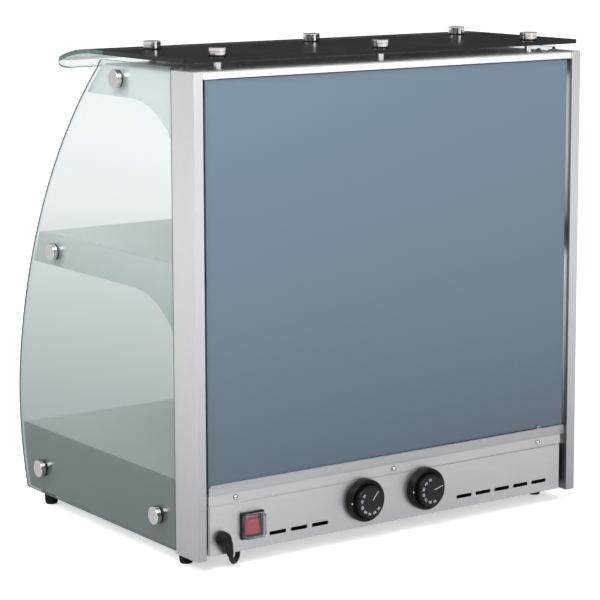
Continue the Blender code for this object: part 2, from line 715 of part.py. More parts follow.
def build_dials():
    for x, label, rest in ((DIAL_X, "left", POINTER_LEFT), (-DIAL_X, "right", POINTER_RIGHT)):
        back = -(PANEL_DEPTH - GAP / MM) * MM
        face = -BEZEL_FACE * MM
        inner = DIAL_R + 0.5 * MM
        bezel = (
            (inner, face), (BEZEL_R - 3 * MM, face), (BEZEL_R, face - 2 * MM),
            (BEZEL_R, back), (inner, back),
        )
        turned(
            f"dial_bezel_{label}", bezel, BLACK_PLASTIC, (x, depth(0), DIAL_Z), "+Y", steps=28,
            closed=True)
        top = -DIAL_FACE * MM
        stem_r = 3.9 * MM
        knob = (
            (0, top), (DIAL_R - 1.2 * MM, top), (DIAL_R, top - 1.2 * MM), (DIAL_R, -5 * MM),
            (stem_r, -5 * MM), (stem_r, -30 * MM), (0, -30 * MM),
        )
        dial = turned(
            f"thermostat_dial_{label}", knob, BLACK_PLASTIC, (x, depth(0), DIAL_Z), "+Y", steps=28)
        mark = box(
            f"dial_mark_{label}",
            (x - 0.5 * MM, depth(DIAL_FACE + 0.4), DIAL_Z + 3 * MM),
            (x + 0.5 * MM, depth(DIAL_FACE - 1), DIAL_Z + 19 * MM))
        swing = Matrix.Rotation(rest - math.pi / 2, 4, "Y")
        about = Vector((x, 0, DIAL_Z))
        mark.matrix_world = (
            Matrix.Translation(about) @ swing @ Matrix.Translation(-about)
            @ Matrix.Translation(mark.location))
        cut(dial, mark)
        body = box(
            f"thermostat_{label}",
            (x - 20 * MM, depth(62), DIAL_Z - 17 * MM), (x + 20 * MM, depth(24), DIAL_Z + 17 * MM),
            BLACK_PLASTIC, 1 * MM)
        bore = rod(
            f"thermostat_bore_{label}", (x, depth(34), DIAL_Z), (x, depth(20), DIAL_Z),
            stem_r + 2 * GAP, sides=20)
        cut(body, bore)


def build_switch():
    half = SWITCH_HALF
    body = box(
        "switch_housing",
        (SWITCH_X - half, depth(PANEL_DEPTH) + GAP, SWITCH_Z - half),
        (SWITCH_X + half, depth(3.7), SWITCH_Z + half), BLACK_PLASTIC, 0.8 * MM)
    barrel = 14.5 * MM
    join(body, box(
        "switch_barrel",
        (SWITCH_X - barrel, depth(38), SWITCH_Z - barrel),
        (SWITCH_X + barrel, depth(5), SWITCH_Z + barrel)))
    cut(body, box(
        "rocker_pocket",
        (SWITCH_X - 11.5 * MM, depth(18), SWITCH_Z - 14 * MM),
        (SWITCH_X + 11.5 * MM, depth(0), SWITCH_Z + 14 * MM)))
    pivot_y = depth(ROCKER_PIVOT)
    outline = (
        (-6, -6), (0, -12.8), (4, -12.8), (2.8, -6), (2.4, 0), (2.8, 6), (4, 12.8), (0, 12.8),
        (-6, 6),
    )
    turn = Matrix.Rotation(ROCKER_TILT, 2)
    rocked = [turn @ Vector((y * MM, z * MM)) for y, z in outline]
    shape = [(pivot_y + p.x, SWITCH_Z + p.y) for p in rocked]
    rocker = outline_plate("switch_rocker", shape, 22 * MM, RED_PLASTIC, standing_x=SWITCH_X)
    rocker_home = Vector((SWITCH_X, pivot_y, SWITCH_Z))
    world = rocker.matrix_world.copy()
    rocker.data.transform(Matrix.Translation(-rocker_home) @ world)
    rocker.matrix_world = Matrix.Translation(rocker_home)
    cover_half = 17.2 * MM
    cover = box(
        "switch_splash_cover",
        (SWITCH_X - cover_half, depth(3.7) + GAP, SWITCH_Z - cover_half),
        (SWITCH_X + cover_half, depth(-6), SWITCH_Z + cover_half), CLEAR_PLASTIC)
    shape = bmesh.new()
    shape.from_mesh(cover.data)
    inner_face = [face for face in shape.faces if face.normal.y < -0.9]
    bmesh.ops.delete(shape, geom=inner_face, context="FACES_ONLY")
    inside_edges = [edge for edge in shape.edges if not edge.is_boundary]
    bmesh.ops.bevel(shape, geom=inside_edges, offset=3 * MM, segments=3, affect="EDGES")
    shape.to_mesh(cover.data)
    shape.free()
    wall = cover.modifiers.new("wall", "SOLIDIFY")
    wall.thickness = 1.0 * MM
    wall.offset = -1.0


def build_feet():
    for side, label in ((1, "left"), (-1, "right")):
        for foot_depth, end in zip(FOOT_DEPTHS, ("rear", "front")):
            top = height(8) - GAP
            profile = (
                (0, top), (10.8 * MM, top), (9.2 * MM, 1.2 * MM), (8.2 * MM, 0), (0, 0),
            )
            turned(
                f"foot_{end}_{label}", profile, RUBBER, (side * FOOT_X, depth(foot_depth), 0),
                steps=16)


def sleeve_end():
    return SLEEVE_START + SLEEVE_WAY * SLEEVE_LENGTH


def build_gland():
    """Round strain-relief boot that turns the lead down out of the panel."""
    profile = (
        (0, 14.5 * MM), (5.5 * MM, 13.8 * MM), (9 * MM, 10.5 * MM), (10 * MM, 6 * MM),
        (10 * MM, GAP), (7.9 * MM, GAP), (7.9 * MM, -10 * MM), (0, -10 * MM),
    )
    gland = turned(
        "cord_gland", profile, RUBBER, (GLAND_X, depth(PANEL_DEPTH), GLAND_Z), "+Y", steps=16)
    sleeve = rod(
        "gland_sleeve", SLEEVE_START - SLEEVE_WAY * 3 * MM, sleeve_end(), 6.8 * MM,
        end_radius=4.6 * MM, sides=16)
    join(gland, sleeve)


def smooth_route(points, spacing):
    """Points at an even spacing on a smooth curve through the given points."""
    path = []
    for i in range(len(points) - 1):
        before = points[max(i - 1, 0)]
        start, end = points[i], points[i + 1]
        after = points[min(i + 2, len(points) - 1)]
        for step in range(20):
            t = step / 20
            path.append(0.5 * (
                2 * start + (end - before) * t
                + (2 * before - 5 * start + 4 * end - after) * t * t
                + (3 * start - before - 3 * end + after) * t ** 3))
    path.append(points[-1])
    kept = [path[0], path[0] + SLEEVE_WAY * CORD_STRAIGHT]
    for point in path[1:]:
        if (point - kept[-1]).length >= spacing:
            kept.append(point)
    kept[-1] = path[-1]
    return kept


def cord_route():
    """The lead from the sleeve's end down to the counter and forward to its coil."""
    way = SLEEVE_WAY
    mouth = sleeve_end() + way * GAP
    start = mouth + way * CORD_STRAIGHT
    level = Vector((way.x, way.y, 0)).normalized()
    drop = start.z - CORD_LIFT
    slope = math.asin(-way.z)
    bend_r = drop / (1 - math.cos(slope))
    fall = [mouth, start]
    for share in (0.25, 0.5, 0.75):
        angle = slope * (1 - share)
        along = bend_r * (math.sin(slope) - math.sin(angle))
        down = bend_r * (math.cos(angle) - math.cos(slope))
        fall.append(start + level * along - Vector((0, 0, down)))
    fall.append(start + level * bend_r * math.sin(slope) - Vector((0, 0, drop)))
    floor = [Vector((x * MM, depth(d), CORD_LIFT)) for x, d in CORD_ROUTE]
    return fall + floor


def build_lead():
    route = smooth_route(cord_route(), 16 * MM)
    curve = bpy.data.curves.new("mains_lead", "CURVE")
    curve.dimensions = "3D"
    curve.bevel_depth = CORD_R
    curve.bevel_resolution = 2
    curve.use_fill_caps = True
    spline = curve.splines.new("POLY")
    spline.points.add(len(route) - 1)
    for point, place_at in zip(spline.points, route):
        point.co = (*place_at, 1.0)
    lead = bpy.data.objects.new("mains_lead", curve)
    parts.objects.link(lead)
    curve.materials.append(RUBBER)
    inner = min(COIL_TURN_R) - CORD_R
    outer = max(COIL_TURN_R) + CORD_R
    low = CORD_LIFT - CORD_R
    top = CORD_LIFT + LAYER_RISE + CORD_R
    ring = ((inner, top), (outer, top), (outer, low), (inner, low))
    turned("mains_lead_coil", ring, RUBBER, (COIL_X, COIL_Y, 0), steps=32, closed=True)


def build_plug():
    """Moulded two-pin earthed plug lying beside the coil, its nose up on its rim."""
    body = (
        (0, 0), (18 * MM, 0), (18 * MM, -8 * MM), (15 * MM, -14 * MM), (13.5 * MM, -24 * MM),
        (8 * MM, -32 * MM), (5.6 * MM, -36 * MM), (4.4 * MM, -56 * MM), (0, -56 * MM),
    )
    lean = math.radians(8)
    rim_centre_z = 18 * MM * math.cos(lean) + 8 * MM * math.sin(lean) + 0.2 * MM
    tail_r = 4.4 * MM
    coil_r = max(COIL_TURN_R) + CORD_R
    last_turn = COIL_TURN_R[-1]
    tail_x = COIL_X - math.sqrt(coil_r ** 2 - (last_turn - tail_r) ** 2) - 2 * GAP
    origin = Vector((tail_x - 56 * MM * math.cos(lean), COIL_Y - last_turn, rim_centre_z))
    plug = turned("mains_plug", body, BLACK_PLASTIC, (0, 0, 0), steps=20)
    plug.matrix_world = (
        Matrix.Translation(origin) @ Matrix.Rotation(-math.pi / 2 + lean, 4, "Y"))
    for side in (-1, 1):
        pin = rod(
            f"plug_pin_{side}", (0, side * 9.5 * MM, -4 * MM), (0, side * 9.5 * MM, 19 * MM),
            2.4 * MM, sides=12)
        pin.matrix_world = plug.matrix_world @ pin.matrix_world
        join(plug, pin)


build_posts()
build_sides()
build_standoffs(build_top_pane(), build_roof())
build_shelf()
build_base()
build_control_panel()
build_sill()
build_door()
build_dials()
build_switch()
build_feet()
build_gland()
build_lead()
build_plug()
bpy.context.view_layer.update()
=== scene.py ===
"""Hot food display case: its looks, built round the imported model.

Frame: +Z up, origin on the counter under the middle of the case.  The staff side is at +Y and the
open front at -Y.  Lengths are metres; depth and height are millimetres from the staff face and
from the rear posts' lower ends.
"""
import math

import bmesh
import bpy
from mathutils import Matrix, Vector


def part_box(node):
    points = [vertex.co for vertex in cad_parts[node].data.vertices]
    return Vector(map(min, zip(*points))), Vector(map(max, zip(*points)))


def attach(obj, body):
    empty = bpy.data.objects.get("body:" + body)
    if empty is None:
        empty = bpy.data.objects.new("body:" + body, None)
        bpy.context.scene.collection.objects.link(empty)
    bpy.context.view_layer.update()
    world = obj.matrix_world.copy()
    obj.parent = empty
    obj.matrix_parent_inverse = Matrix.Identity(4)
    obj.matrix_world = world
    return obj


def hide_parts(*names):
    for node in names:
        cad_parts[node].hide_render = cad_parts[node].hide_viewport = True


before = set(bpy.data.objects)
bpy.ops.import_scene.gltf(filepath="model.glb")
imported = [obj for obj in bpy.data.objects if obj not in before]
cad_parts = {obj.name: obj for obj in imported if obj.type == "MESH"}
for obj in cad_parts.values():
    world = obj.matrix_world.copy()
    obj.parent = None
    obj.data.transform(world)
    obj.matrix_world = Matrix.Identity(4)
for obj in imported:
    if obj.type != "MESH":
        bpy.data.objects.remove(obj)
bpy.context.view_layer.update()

MM = 0.001
POST_LOW, POST_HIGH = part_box("rear_post_left")
SIDE_X = POST_HIGH.x
STAFF_FACE = POST_HIGH.y
POST_FOOT = POST_LOW.z


def depth(forward):
    """World y of a depth in millimetres forward of the staff face."""
    return STAFF_FACE - forward * MM


def height(above):
    """World z of a height in millimetres above the posts' lower ends."""
    return POST_FOOT + above * MM


# ---------------------------------------------------------------- camera

CAMERA_PLACE = (1.9005, 2.7221, 0.8964)
CAMERA_TURN = math.radians(214.963)           # from +Y, clockwise as seen from above
CAMERA_TILT = math.radians(-8.662)            # below the level
CAMERA_LEAN = -0.0027                         # radians about its own line of sight


def make_camera():
    data = bpy.data.cameras.new("camera")
    data.sensor_width = 36
    data.lens = 137.96
    data.shift_y = -0.1
    camera = bpy.data.objects.new("camera", data)
    bpy.context.scene.collection.objects.link(camera)
    forward = Vector((
        math.sin(CAMERA_TURN) * math.cos(CAMERA_TILT),
        math.cos(CAMERA_TURN) * math.cos(CAMERA_TILT), math.sin(CAMERA_TILT)))
    level = forward.cross(Vector((0, 0, 1))).normalized()
    upright = level.cross(forward)
    right = level * math.cos(CAMERA_LEAN) + upright * math.sin(CAMERA_LEAN)
    up = upright * math.cos(CAMERA_LEAN) - level * math.sin(CAMERA_LEAN)
    axes = Matrix((right, up, -forward)).transposed().to_4x4()
    camera.matrix_world = Matrix.Translation(CAMERA_PLACE) @ axes
    bpy.context.scene.camera = camera


# ---------------------------------------------------------------- modelling helpers

MERGE = 0.000001                              # metres: points this close become one
MERGE_SOLID = 0.000005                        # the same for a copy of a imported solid
SAME_PLANE = math.radians(0.3)                # facets that meet at less make one face


def deselect():
    for obj in bpy.context.selected_objects:
        obj.select_set(False)


def take(piece):
    """Select one piece alone, so that the next operator acts on it."""
    deselect()
    bpy.context.view_layer.objects.active = piece
    piece.select_set(True)


def edit(piece):
    """Edit mode on one piece with nothing in it selected."""
    take(piece)
    bpy.ops.object.mode_set(mode="EDIT")
    bpy.ops.mesh.select_all(action="DESELECT")


def pick_faces(piece, test):
    """Select the faces whose centre and normal pass a test."""
    bpy.ops.mesh.select_mode(type="FACE")
    shape = bmesh.from_edit_mesh(piece.data)
    for face in shape.faces:
        face.select_set(test(face.calc_center_median(), face.normal))
    bmesh.update_edit_mesh(piece.data)


def pick_all():
    bpy.ops.mesh.select_all(action="SELECT")


def leave_edit():
    bpy.ops.object.mode_set(mode="OBJECT")


def apply_place(piece):
    take(piece)
    bpy.ops.object.transform_apply(location=True, rotation=True, scale=True)


def smooth(piece, angle=35):
    """Shade smooth across every edge that turns by less than an angle."""
    take(piece)
    bpy.ops.object.shade_smooth_by_angle(angle=math.radians(angle))


def round_edges(piece, width, segments=3, angle=30):
    """Round every edge that turns by more than an angle, in degrees."""
    rounding = piece.modifiers.new("round_edges", "BEVEL")
    rounding.width = width
    rounding.segments = segments
    rounding.limit_method = "ANGLE"
    rounding.angle_limit = math.radians(angle)
    rounding.use_clamp_overlap = True
    take(piece)
    bpy.ops.object.modifier_apply(modifier=rounding.name)
    smooth(piece)


def block(name, low, high):
    """A cube primitive at its size and place."""
    low, high = Vector(low), Vector(high)
    deselect()
    bpy.ops.mesh.primitive_cube_add(size=1, location=(low + high) / 2)
    piece = bpy.context.object
    piece.name = name
    piece.scale = high - low
    apply_place(piece)
    return piece


def turned(name, rings, sides=64, hollow=False, crease=16):
    """A disc drawn up its own z axis through rings of (radius, height), in metres.

    A hollow one is drawn from its first ring back to it, as a closed hoop.  Rings that meet at
    more than the crease, in degrees, keep a crisp line between them.
    """
    first_radius, first_height = rings[0]
    deselect()
    bpy.ops.mesh.primitive_circle_add(
        vertices=sides, radius=first_radius, fill_type="NOTHING" if hollow else "NGON",
        location=(0, 0, first_height))
    piece = bpy.context.object
    piece.name = name
    apply_place(piece)
    edit(piece)
    bpy.ops.mesh.select_mode(type="VERT")
    pick_all()
    path = list(rings) + ([rings[0]] if hollow else [])
    for (old_radius, old_height), (radius, along) in zip(path, path[1:]):
        bpy.ops.mesh.extrude_region_move(
            TRANSFORM_OT_translate={"value": (0, 0, along - old_height)})
        share = radius / old_radius
        bpy.ops.transform.resize(value=(share, share, 1), center_override=(0, 0, along))
    pick_all()
    bpy.ops.mesh.remove_doubles(threshold=MERGE)
    bpy.ops.mesh.normals_make_consistent(inside=False)
    leave_edit()
    smooth(piece, crease)
    return piece


def moved(piece, place, axis=(0, 0, 1), spin=0.0):
    """Put a piece's own z axis along an axis at a place, in its mesh."""
    turn = Vector(axis).to_track_quat("Z", "Y").to_matrix().to_4x4()
    piece.data.transform(Matrix.Translation(place) @ turn @ Matrix.Rotation(spin, 4, "Z"))
    return piece


def twin(piece, name):
    """A copy with its own mesh."""
    copy = bpy.data.objects.new(name, piece.data.copy())
    bpy.context.scene.collection.objects.link(copy)
    return copy


def from_node(solid, name, rounding=0.0, segments=2, angle=30):
    """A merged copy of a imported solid; a rounding, in metres, rounds its edges."""
    piece = bpy.data.objects.new(name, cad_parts[solid].data.copy())
    bpy.context.scene.collection.objects.link(piece)
    piece.data.materials.clear()
    edit(piece)
    pick_all()
    bpy.ops.mesh.customdata_custom_splitnormals_clear()
    bpy.ops.mesh.remove_doubles(threshold=MERGE_SOLID)
    bpy.ops.mesh.dissolve_limited(angle_limit=SAME_PLANE)
    leave_edit()
    if rounding:
        round_edges(piece, rounding, segments, angle)
    else:
        smooth(piece)
    return piece


def one_flat(piece, test):
    """Make one face of the coplanar faces that pass a test, so that it shades flat."""
    edit(piece)
    pick_faces(piece, test)
    bpy.ops.mesh.dissolve_faces()
    leave_edit()


def polished_pane(solid, name, axis, width, flat=lambda centre: True):
    """A packed pane with one clean face each side and an arrised edge."""
    pane = from_node(solid, name)
    for way in (1, -1):
        one_flat(pane, lambda centre, normal: normal[axis] * way > 0.999 and flat(centre))
    round_edges(pane, width, 2)
    smooth(pane, 20)
    return pane


def joined(pieces, name):
    """Several loose shapes of one finish as one piece."""
    deselect()
    for piece in pieces:
        piece.select_set(True)
    bpy.context.view_layer.objects.active = pieces[0]
    bpy.ops.object.join()
    pieces[0].name = name
    return pieces[0]


def finished(piece, finish, body, slot, *nodes):
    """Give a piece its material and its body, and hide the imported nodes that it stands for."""
    if finish:
        piece.data.materials.clear()
        piece.data.materials.append(finish)
    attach(piece, body)
    if nodes:
        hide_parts(*nodes)
    return piece


# ---------------------------------------------------------------- materials

NOISE_LOW, NOISE_HIGH = 0.3, 0.7              # nearly all of a noise lies between these


def linear(hex_colour):
    """Linear RGBA of an sRGB hex value."""
    parts = [int(hex_colour[i:i + 2], 16) / 255 for i in (1, 3, 5)]
    return (*[c / 12.92 if c <= 0.04045 else ((c + 0.055) / 1.055) ** 2.4 for c in parts], 1.0)


def node(tree, kind, inputs=None, **settings):
    """Add a node with its settings and links; an input is a value or another node's output."""
    made = tree.nodes.new(kind)
    for key, value in settings.items():
        setattr(made, key, value)
    for key, value in (inputs or {}).items():
        if isinstance(value, bpy.types.NodeSocket):
            tree.links.new(value, made.inputs[key])
        else:
            made.inputs[key].default_value = value
    return made


def surface(name, **inputs):
    """A material whose Principled shader has these inputs; returns it, its tree and shader."""
    made = bpy.data.materials.new(name)
    made.use_nodes = True
    tree = made.node_tree
    shader = tree.nodes["Principled BSDF"]
    for key, value in inputs.items():
        shader.inputs[key.replace("_", " ")].default_value = value
    return made, tree, shader


def grained(tree, shader, scale, colours=None, gloss=None, relief=None,
            stretch=(1, 1, 1), detail=2.0, harshness=0.5):
    """Vary a finish with one grain on Object coordinates: its colour, roughness and height.

    Scale is per metre, so 1000 is a grain of 1 mm; a stretch below 1 draws it out along an axis.
    Colours are light and dark, gloss is the least and most roughness, relief strength and height.
    """
    where = node(tree, "ShaderNodeTexCoord").outputs["Object"]
    drawn_out = node(tree, "ShaderNodeMapping", {"Vector": where, "Scale": stretch})
    grain = node(tree, "ShaderNodeTexNoise", {
        "Vector": drawn_out.outputs["Vector"], "Scale": scale, "Detail": detail,
        "Roughness": harshness}).outputs["Fac"]
    if colours:
        light, dark = colours
        share = node(tree, "ShaderNodeMapRange", {
            "Value": grain, "From Min": NOISE_LOW, "From Max": NOISE_HIGH})
        base = node(tree, "ShaderNodeMix", {
            0: share.outputs["Result"], 6: linear(light), 7: linear(dark)}, data_type="RGBA")
        tree.links.new(base.outputs[2], shader.inputs["Base Color"])
    if gloss:
        least, most = gloss
        dulled = node(tree, "ShaderNodeMapRange", {
            "Value": grain, "From Min": NOISE_LOW, "From Max": NOISE_HIGH,
            "To Min": least, "To Max": most})
        tree.links.new(dulled.outputs["Result"], shader.inputs["Roughness"])
    if relief:
        strength, rise = relief
        raised = node(tree, "ShaderNodeBump", {
            "Height": grain, "Strength": strength, "Distance": rise})
        tree.links.new(raised.outputs["Normal"], shader.inputs["Normal"])
    return grain


def upward(tree, low, high, start, end):
    """A colour that changes evenly with height, from one at the start to one at the end."""
    where = node(tree, "ShaderNodeTexCoord").outputs["Object"]
    axes = node(tree, "ShaderNodeSeparateXYZ", {"Vector": where})
    share = node(tree, "ShaderNodeMapRange", {
        "Value": axes.outputs["Z"], "From Min": start, "From Max": end})
    return node(tree, "ShaderNodeMix", {
        0: share.outputs["Result"], 6: linear(low), 7: linear(high)},
        data_type="RGBA").outputs[2]


def brushed_metal(name, light, dark, stretch, gloss):
    """Rolled sheet brushed one way: fine streaks in colour, gloss and height, clouded at 200 mm.

    Real streaks are under 0.1 mm apart; these are about 0.7 mm, coarse enough to show.
    """
    made, tree, shader = surface(name, Metallic=1.0)
    grained(tree, shader, 1300, (light, dark), gloss, (0.03, 0.0001), stretch, 4.0, 0.6)
    streaked = shader.inputs["Roughness"].links[0].from_socket
    where = node(tree, "ShaderNodeTexCoord").outputs["Object"]
    clouds = node(tree, "ShaderNodeTexNoise", {"Vector": where, "Scale": 5, "Detail": 2.0})
    drift = node(tree, "ShaderNodeMapRange", {
        "Value": clouds.outputs["Fac"], "From Min": NOISE_LOW, "From Max": NOISE_HIGH,
        "To Min": -0.03, "To Max": 0.03})
    clouded = node(tree, "ShaderNodeMath", {0: streaked, 1: drift.outputs["Result"]},
                   operation="ADD")
    tree.links.new(clouded.outputs[0], shader.inputs["Roughness"])
    return made


def brushed_stainless():
    """304 stainless sheet, grain across the case: soft grey with level streaks."""
    return brushed_metal("brushed_stainless_304", "#d2d2d3", "#cacacb", (0.015, 1, 1), (0.33, 0.40))


def anodised_aluminium():
    """Silver anodised extrusion, drawn upright: paler than the steel.

    Its colour is darker low down, in place of dimmer light there; the anodising itself is even.
    """
    made = brushed_metal("silver_anodised_aluminium", "#d8d8da", "#d2d2d4", (1, 1, 0.015),
                         (0.32, 0.38))
    tree = made.node_tree
    base_colour = tree.nodes["Principled BSDF"].inputs["Base Color"]
    die_lines = base_colour.links[0].from_socket
    dimmed = upward(tree, "#d6d6d8", "#ffffff", height(0), height(420))
    shaded = node(tree, "ShaderNodeMix", {0: 1.0, 6: die_lines, 7: dimmed},
                  data_type="RGBA", blend_type="MULTIPLY")
    tree.links.new(shaded.outputs[2], base_colour)
    return made


def satin_plate(name, low, high):
    """Bead-blasted steel: a matt, even grey, half metallic so that it takes light softly.

    Its colour is darker low down, in place of dimmer light there.  The grit is 0.4 mm, which is
    coarser than the real one, to show.
    """
    made, tree, shader = surface(name, Metallic=0.45)
    grained(tree, shader, 2500, gloss=(0.5, 0.56))
    tree.links.new(upward(tree, low, high, height(80), height(370)), shader.inputs["Base Color"])
    return made


def turned_steel():
    """Turned and polished stainless bar: near mirror, with a faint haze in 1 mm patches."""
    made, tree, shader = surface(
        "turned_stainless_bar", Metallic=1.0, Base_Color=linear("#d9d5d2"))
    grained(tree, shader, 900, gloss=(0.12, 0.2), detail=3.0)
    return made


def faced_steel():
    """The lathe-faced ends of the clamps: a 0.7 mm grain scatters light, so a soft pale grey."""
    made, tree, shader = surface("lathe_faced_stainless", Metallic=1.0)
    grained(tree, shader, 1400, ("#d2cecb", "#c0bcb9"), (0.36, 0.5), stretch=(0.2, 1, 1))
    return made


def let_lamps_through(made, tint):
    """Lamps reach what is behind a pane; sight still meets the glass itself."""
    tree = made.node_tree
    end = tree.nodes["Material Output"]
    shader = tree.nodes["Principled BSDF"]
    clear = node(tree, "ShaderNodeBsdfTransparent", {"Color": tint})
    ray = node(tree, "ShaderNodeLightPath")
    mixed = node(tree, "ShaderNodeMixShader", {
        0: ray.outputs["Is Shadow Ray"], 1: shader.outputs["BSDF"], 2: clear.outputs["BSDF"]})
    tree.links.new(mixed.outputs["Shader"], end.inputs["Surface"])


def float_glass():
    """Clear float glass: a faint green body colour.

    It is deeper low down, in place of dimmer light there; the real tint is even.
    """
    made, tree, shader = surface(
        "clear_float_glass", Roughness=0.015, IOR=1.5, Transmission_Weight=1.0)
    body = upward(tree, "#aab4b4", "#dfe4e5", height(80), height(560))
    tree.links.new(body, shader.inputs["Base Color"])
    let_lamps_through(made, linear("#e6eceb"))
    return made


def visor_glass():
    """The bent end of the top pane, left without enamel: the same glass, a shade clearer."""
    made, _, _ = surface(
        "clear_visor_glass", Base_Color=linear("#eef4f3"), Roughness=0.015, IOR=1.5,
        Transmission_Weight=1.0)
    let_lamps_through(made, linear("#e6eceb"))
    return made


def glass_edge():
    """A polished glass edge, which gathers the body colour into a dark bottle green."""
    made, tree, shader = surface(
        "polished_glass_edge", Roughness=0.15, IOR=1.5, Specular_IOR_Level=0.25)
    grained(tree, shader, 60, ("#35504f", "#466160"))
    return made


def enamelled_glass():
    """Toughened glass backed with black ceramic enamel: near black, under a gloss kept soft."""
    made, tree, shader = surface("black_enamelled_glass", IOR=1.3)
    grained(tree, shader, 12, ("#161617", "#1d1d1f"), (0.16, 0.24), detail=3.0)
    return made


def reflective_glass():
    """Blue-grey solar glass with a hard reflective coat, seen as an even steel blue.

    Its colour is paler higher up, in place of brighter light there; the real coat is even.
    """
    made, tree, shader = surface(
        "reflective_solar_glass", IOR=1.5, Coat_Weight=0.4, Coat_Roughness=0.04, Metallic=0.25)
    base = upward(tree, "#526371", "#687c8b", height(90), height(640))
    tree.links.new(base, shader.inputs["Base Color"])
    wave = grained(tree, shader, 3, detail=1.0)
    softened = node(tree, "ShaderNodeMapRange", {"Value": wave, "To Min": 0.2, "To Max": 0.3})
    tree.links.new(softened.outputs["Result"], shader.inputs["Roughness"])
    return made


def moulded_plastic(name, light, dark, gloss, grit):
    """Moulded plastic: a fine spark-eroded texture that breaks the gloss.

    Grit is per metre.  The real one is about 0.1 mm; 0.7 to 1.4 mm is drawn, to show.
    """
    made, tree, shader = surface(name, IOR=1.5, Specular_IOR_Level=0.22)
    grained(tree, shader, grit, (light, dark), gloss, (0.15, 0.0002), detail=3.0)
    return made


def red_polycarbonate():
    """Tinted polycarbonate rocker: deep red that glows a little from inside."""
    made, tree, shader = surface(
        "red_polycarbonate", Roughness=0.22, IOR=1.58, Transmission_Weight=0.15,
        Subsurface_Weight=0.25, Subsurface_Radius=(0.004, 0.001, 0.001))
    grained(tree, shader, 220, ("#c23a3c", "#b02a2f"))
    return made


def clear_vinyl():
    """Soft clear PVC splash cover: bluish, slightly hazy."""
    made, tree, shader = surface(
        "clear_soft_vinyl", Base_Color=linear("#e9eef2"), IOR=1.5, Transmission_Weight=1.0)
    grained(tree, shader, 300, gloss=(0.04, 0.14))
    let_lamps_through(made, linear("#dfe4e8"))
    return made


def printed_white():
    """Screen-printed white on plastic: flat, with ink that is a little uneven."""
    made, tree, shader = surface("screen_printed_white", Roughness=0.55)
    grained(tree, shader, 1200, ("#e8e8e6", "#c9c9c7"))
    return made


def rough_solid(name, light, dark, roughness, scale, stretch=(1, 1, 1), lift=0.3):
    """A dull, grainy solid such as fibre board, silicone or fired ceramic."""
    made, tree, shader = surface(name, Roughness=roughness)
    grained(tree, shader, scale, (light, dark), relief=(lift, 0.0005), stretch=stretch, detail=4.0)
    return made


def quartz_tube():
    """Fused quartz: clear and colourless, a little milky from heat."""
    made, _, _ = surface(
        "fused_quartz", Base_Color=linear("#f3f0ea"), Roughness=0.08, IOR=1.46,
        Transmission_Weight=1.0)
    let_lamps_through(made, linear("#efece6"))
    return made


STAINLESS = brushed_stainless()
ALUMINIUM = anodised_aluminium()
SATIN = satin_plate("bead_blasted_frame_plate", "#9ea2a2", "#dddede")
TRAY = satin_plate("bead_blasted_tray_sheet", "#e8e9e9", "#ececec")
POLISHED = turned_steel()
FACED = faced_steel()
CLEAR_GLASS = float_glass()
VISOR_GLASS = visor_glass()
GLASS_EDGE = glass_edge()
BLACK_GLASS = enamelled_glass()
# painted reflection: a pale underside for the top pane, so that the roof beneath reflects a bright
# surface
PAINTED_REFLECTION_BACK = rough_solid("pale_back_painted_roof_reflection", "#d4d6d7", "#cccecf", 0.35, 60, lift=0.05)
DOOR_GLASS = reflective_glass()
BLACK_ABS = moulded_plastic("black_moulded_abs", "#0e0e10", "#09090a", (0.32, 0.44), 1500)
DIAL_FACE = moulded_plastic("dark_grey_dial_face", "#24252b", "#1d1e23", (0.4, 0.5), 1500)
RED_LENS = red_polycarbonate()
VINYL = clear_vinyl()
PRINT = printed_white()
RUBBER = moulded_plastic("black_epdm_rubber", "#141414", "#0c0c0c", (0.6, 0.75), 900)
CORD_PVC = moulded_plastic("black_pvc_lead", "#161617", "#101011", (0.4, 0.5), 700)
NYLON = moulded_plastic("black_nylon_washer", "#121213", "#0c0c0d", (0.5, 0.6), 900)
SILICONE = rough_solid("red_brown_silicone_mat", "#8d3f26", "#7b341f", 0.6, 500)
MINERAL_WOOL = rough_solid("mineral_wool_board", "#b5a777", "#9c8e60", 0.95, 260, (0.3, 1, 1), 0.8)
CERAMIC = rough_solid("white_steatite", "#e6e2d8", "#d8d3c6", 0.5, 400)
QUARTZ = quartz_tube()
TUNGSTEN = brushed_metal("drawn_tungsten_wire", "#8a8a8c", "#6d6d70", (1, 1, 1), (0.3, 0.4))
NICKEL = brushed_metal("nickel_plated_brass", "#d8d2c4", "#c9c2b3", (1, 1, 1), (0.18, 0.28))


# ---------------------------------------------------------------- mains lead

CORD_R = 3.5 * MM
GLAND_X = 287 * MM
GLAND_Z = height(25)
SLEEVE_START = Vector((GLAND_X, depth(-8.5), height(20)))
SLEEVE_WAY = Vector((-0.42, -0.42, -0.80)).normalized()
SLEEVE_LENGTH = 21 * MM
CORD_STRAIGHT = 3 * MM
CORD_LIFT = CORD_R + 0.2 * MM
LAYER_RISE = 6.2 * MM
PLUG_LENGTH = 56 * MM
CORD_IN_PLUG = 55 * MM                        # behind the plug's face, inside its tail
COIL_X = 54.3 * MM
COIL_Y = depth(552)
COIL_TURN_R = (45.7 * MM, 38.5 * MM, 31.3 * MM, 34.9 * MM, 42.1 * MM)
TURN_LAYER = (0, 0, 0, 1, 1)
ROUTE_SPACING = 12 * MM
ROUTE_STEPS = 20                              # along each stretch
CORD_ROUTE = (                                # x in millimetres and depth along the counter
    (238, 44), (214, 84), (190, 140), (167, 205), (146, 275),
    (129, 345), (115, 410), (105, 465), (100.6, 500), (100, 525),
)


def ease(share):
    """A share from 0 to 1 that starts and stops gently."""
    share = min(max(share, 0.0), 1.0)
    return share * share * (3 - 2 * share)


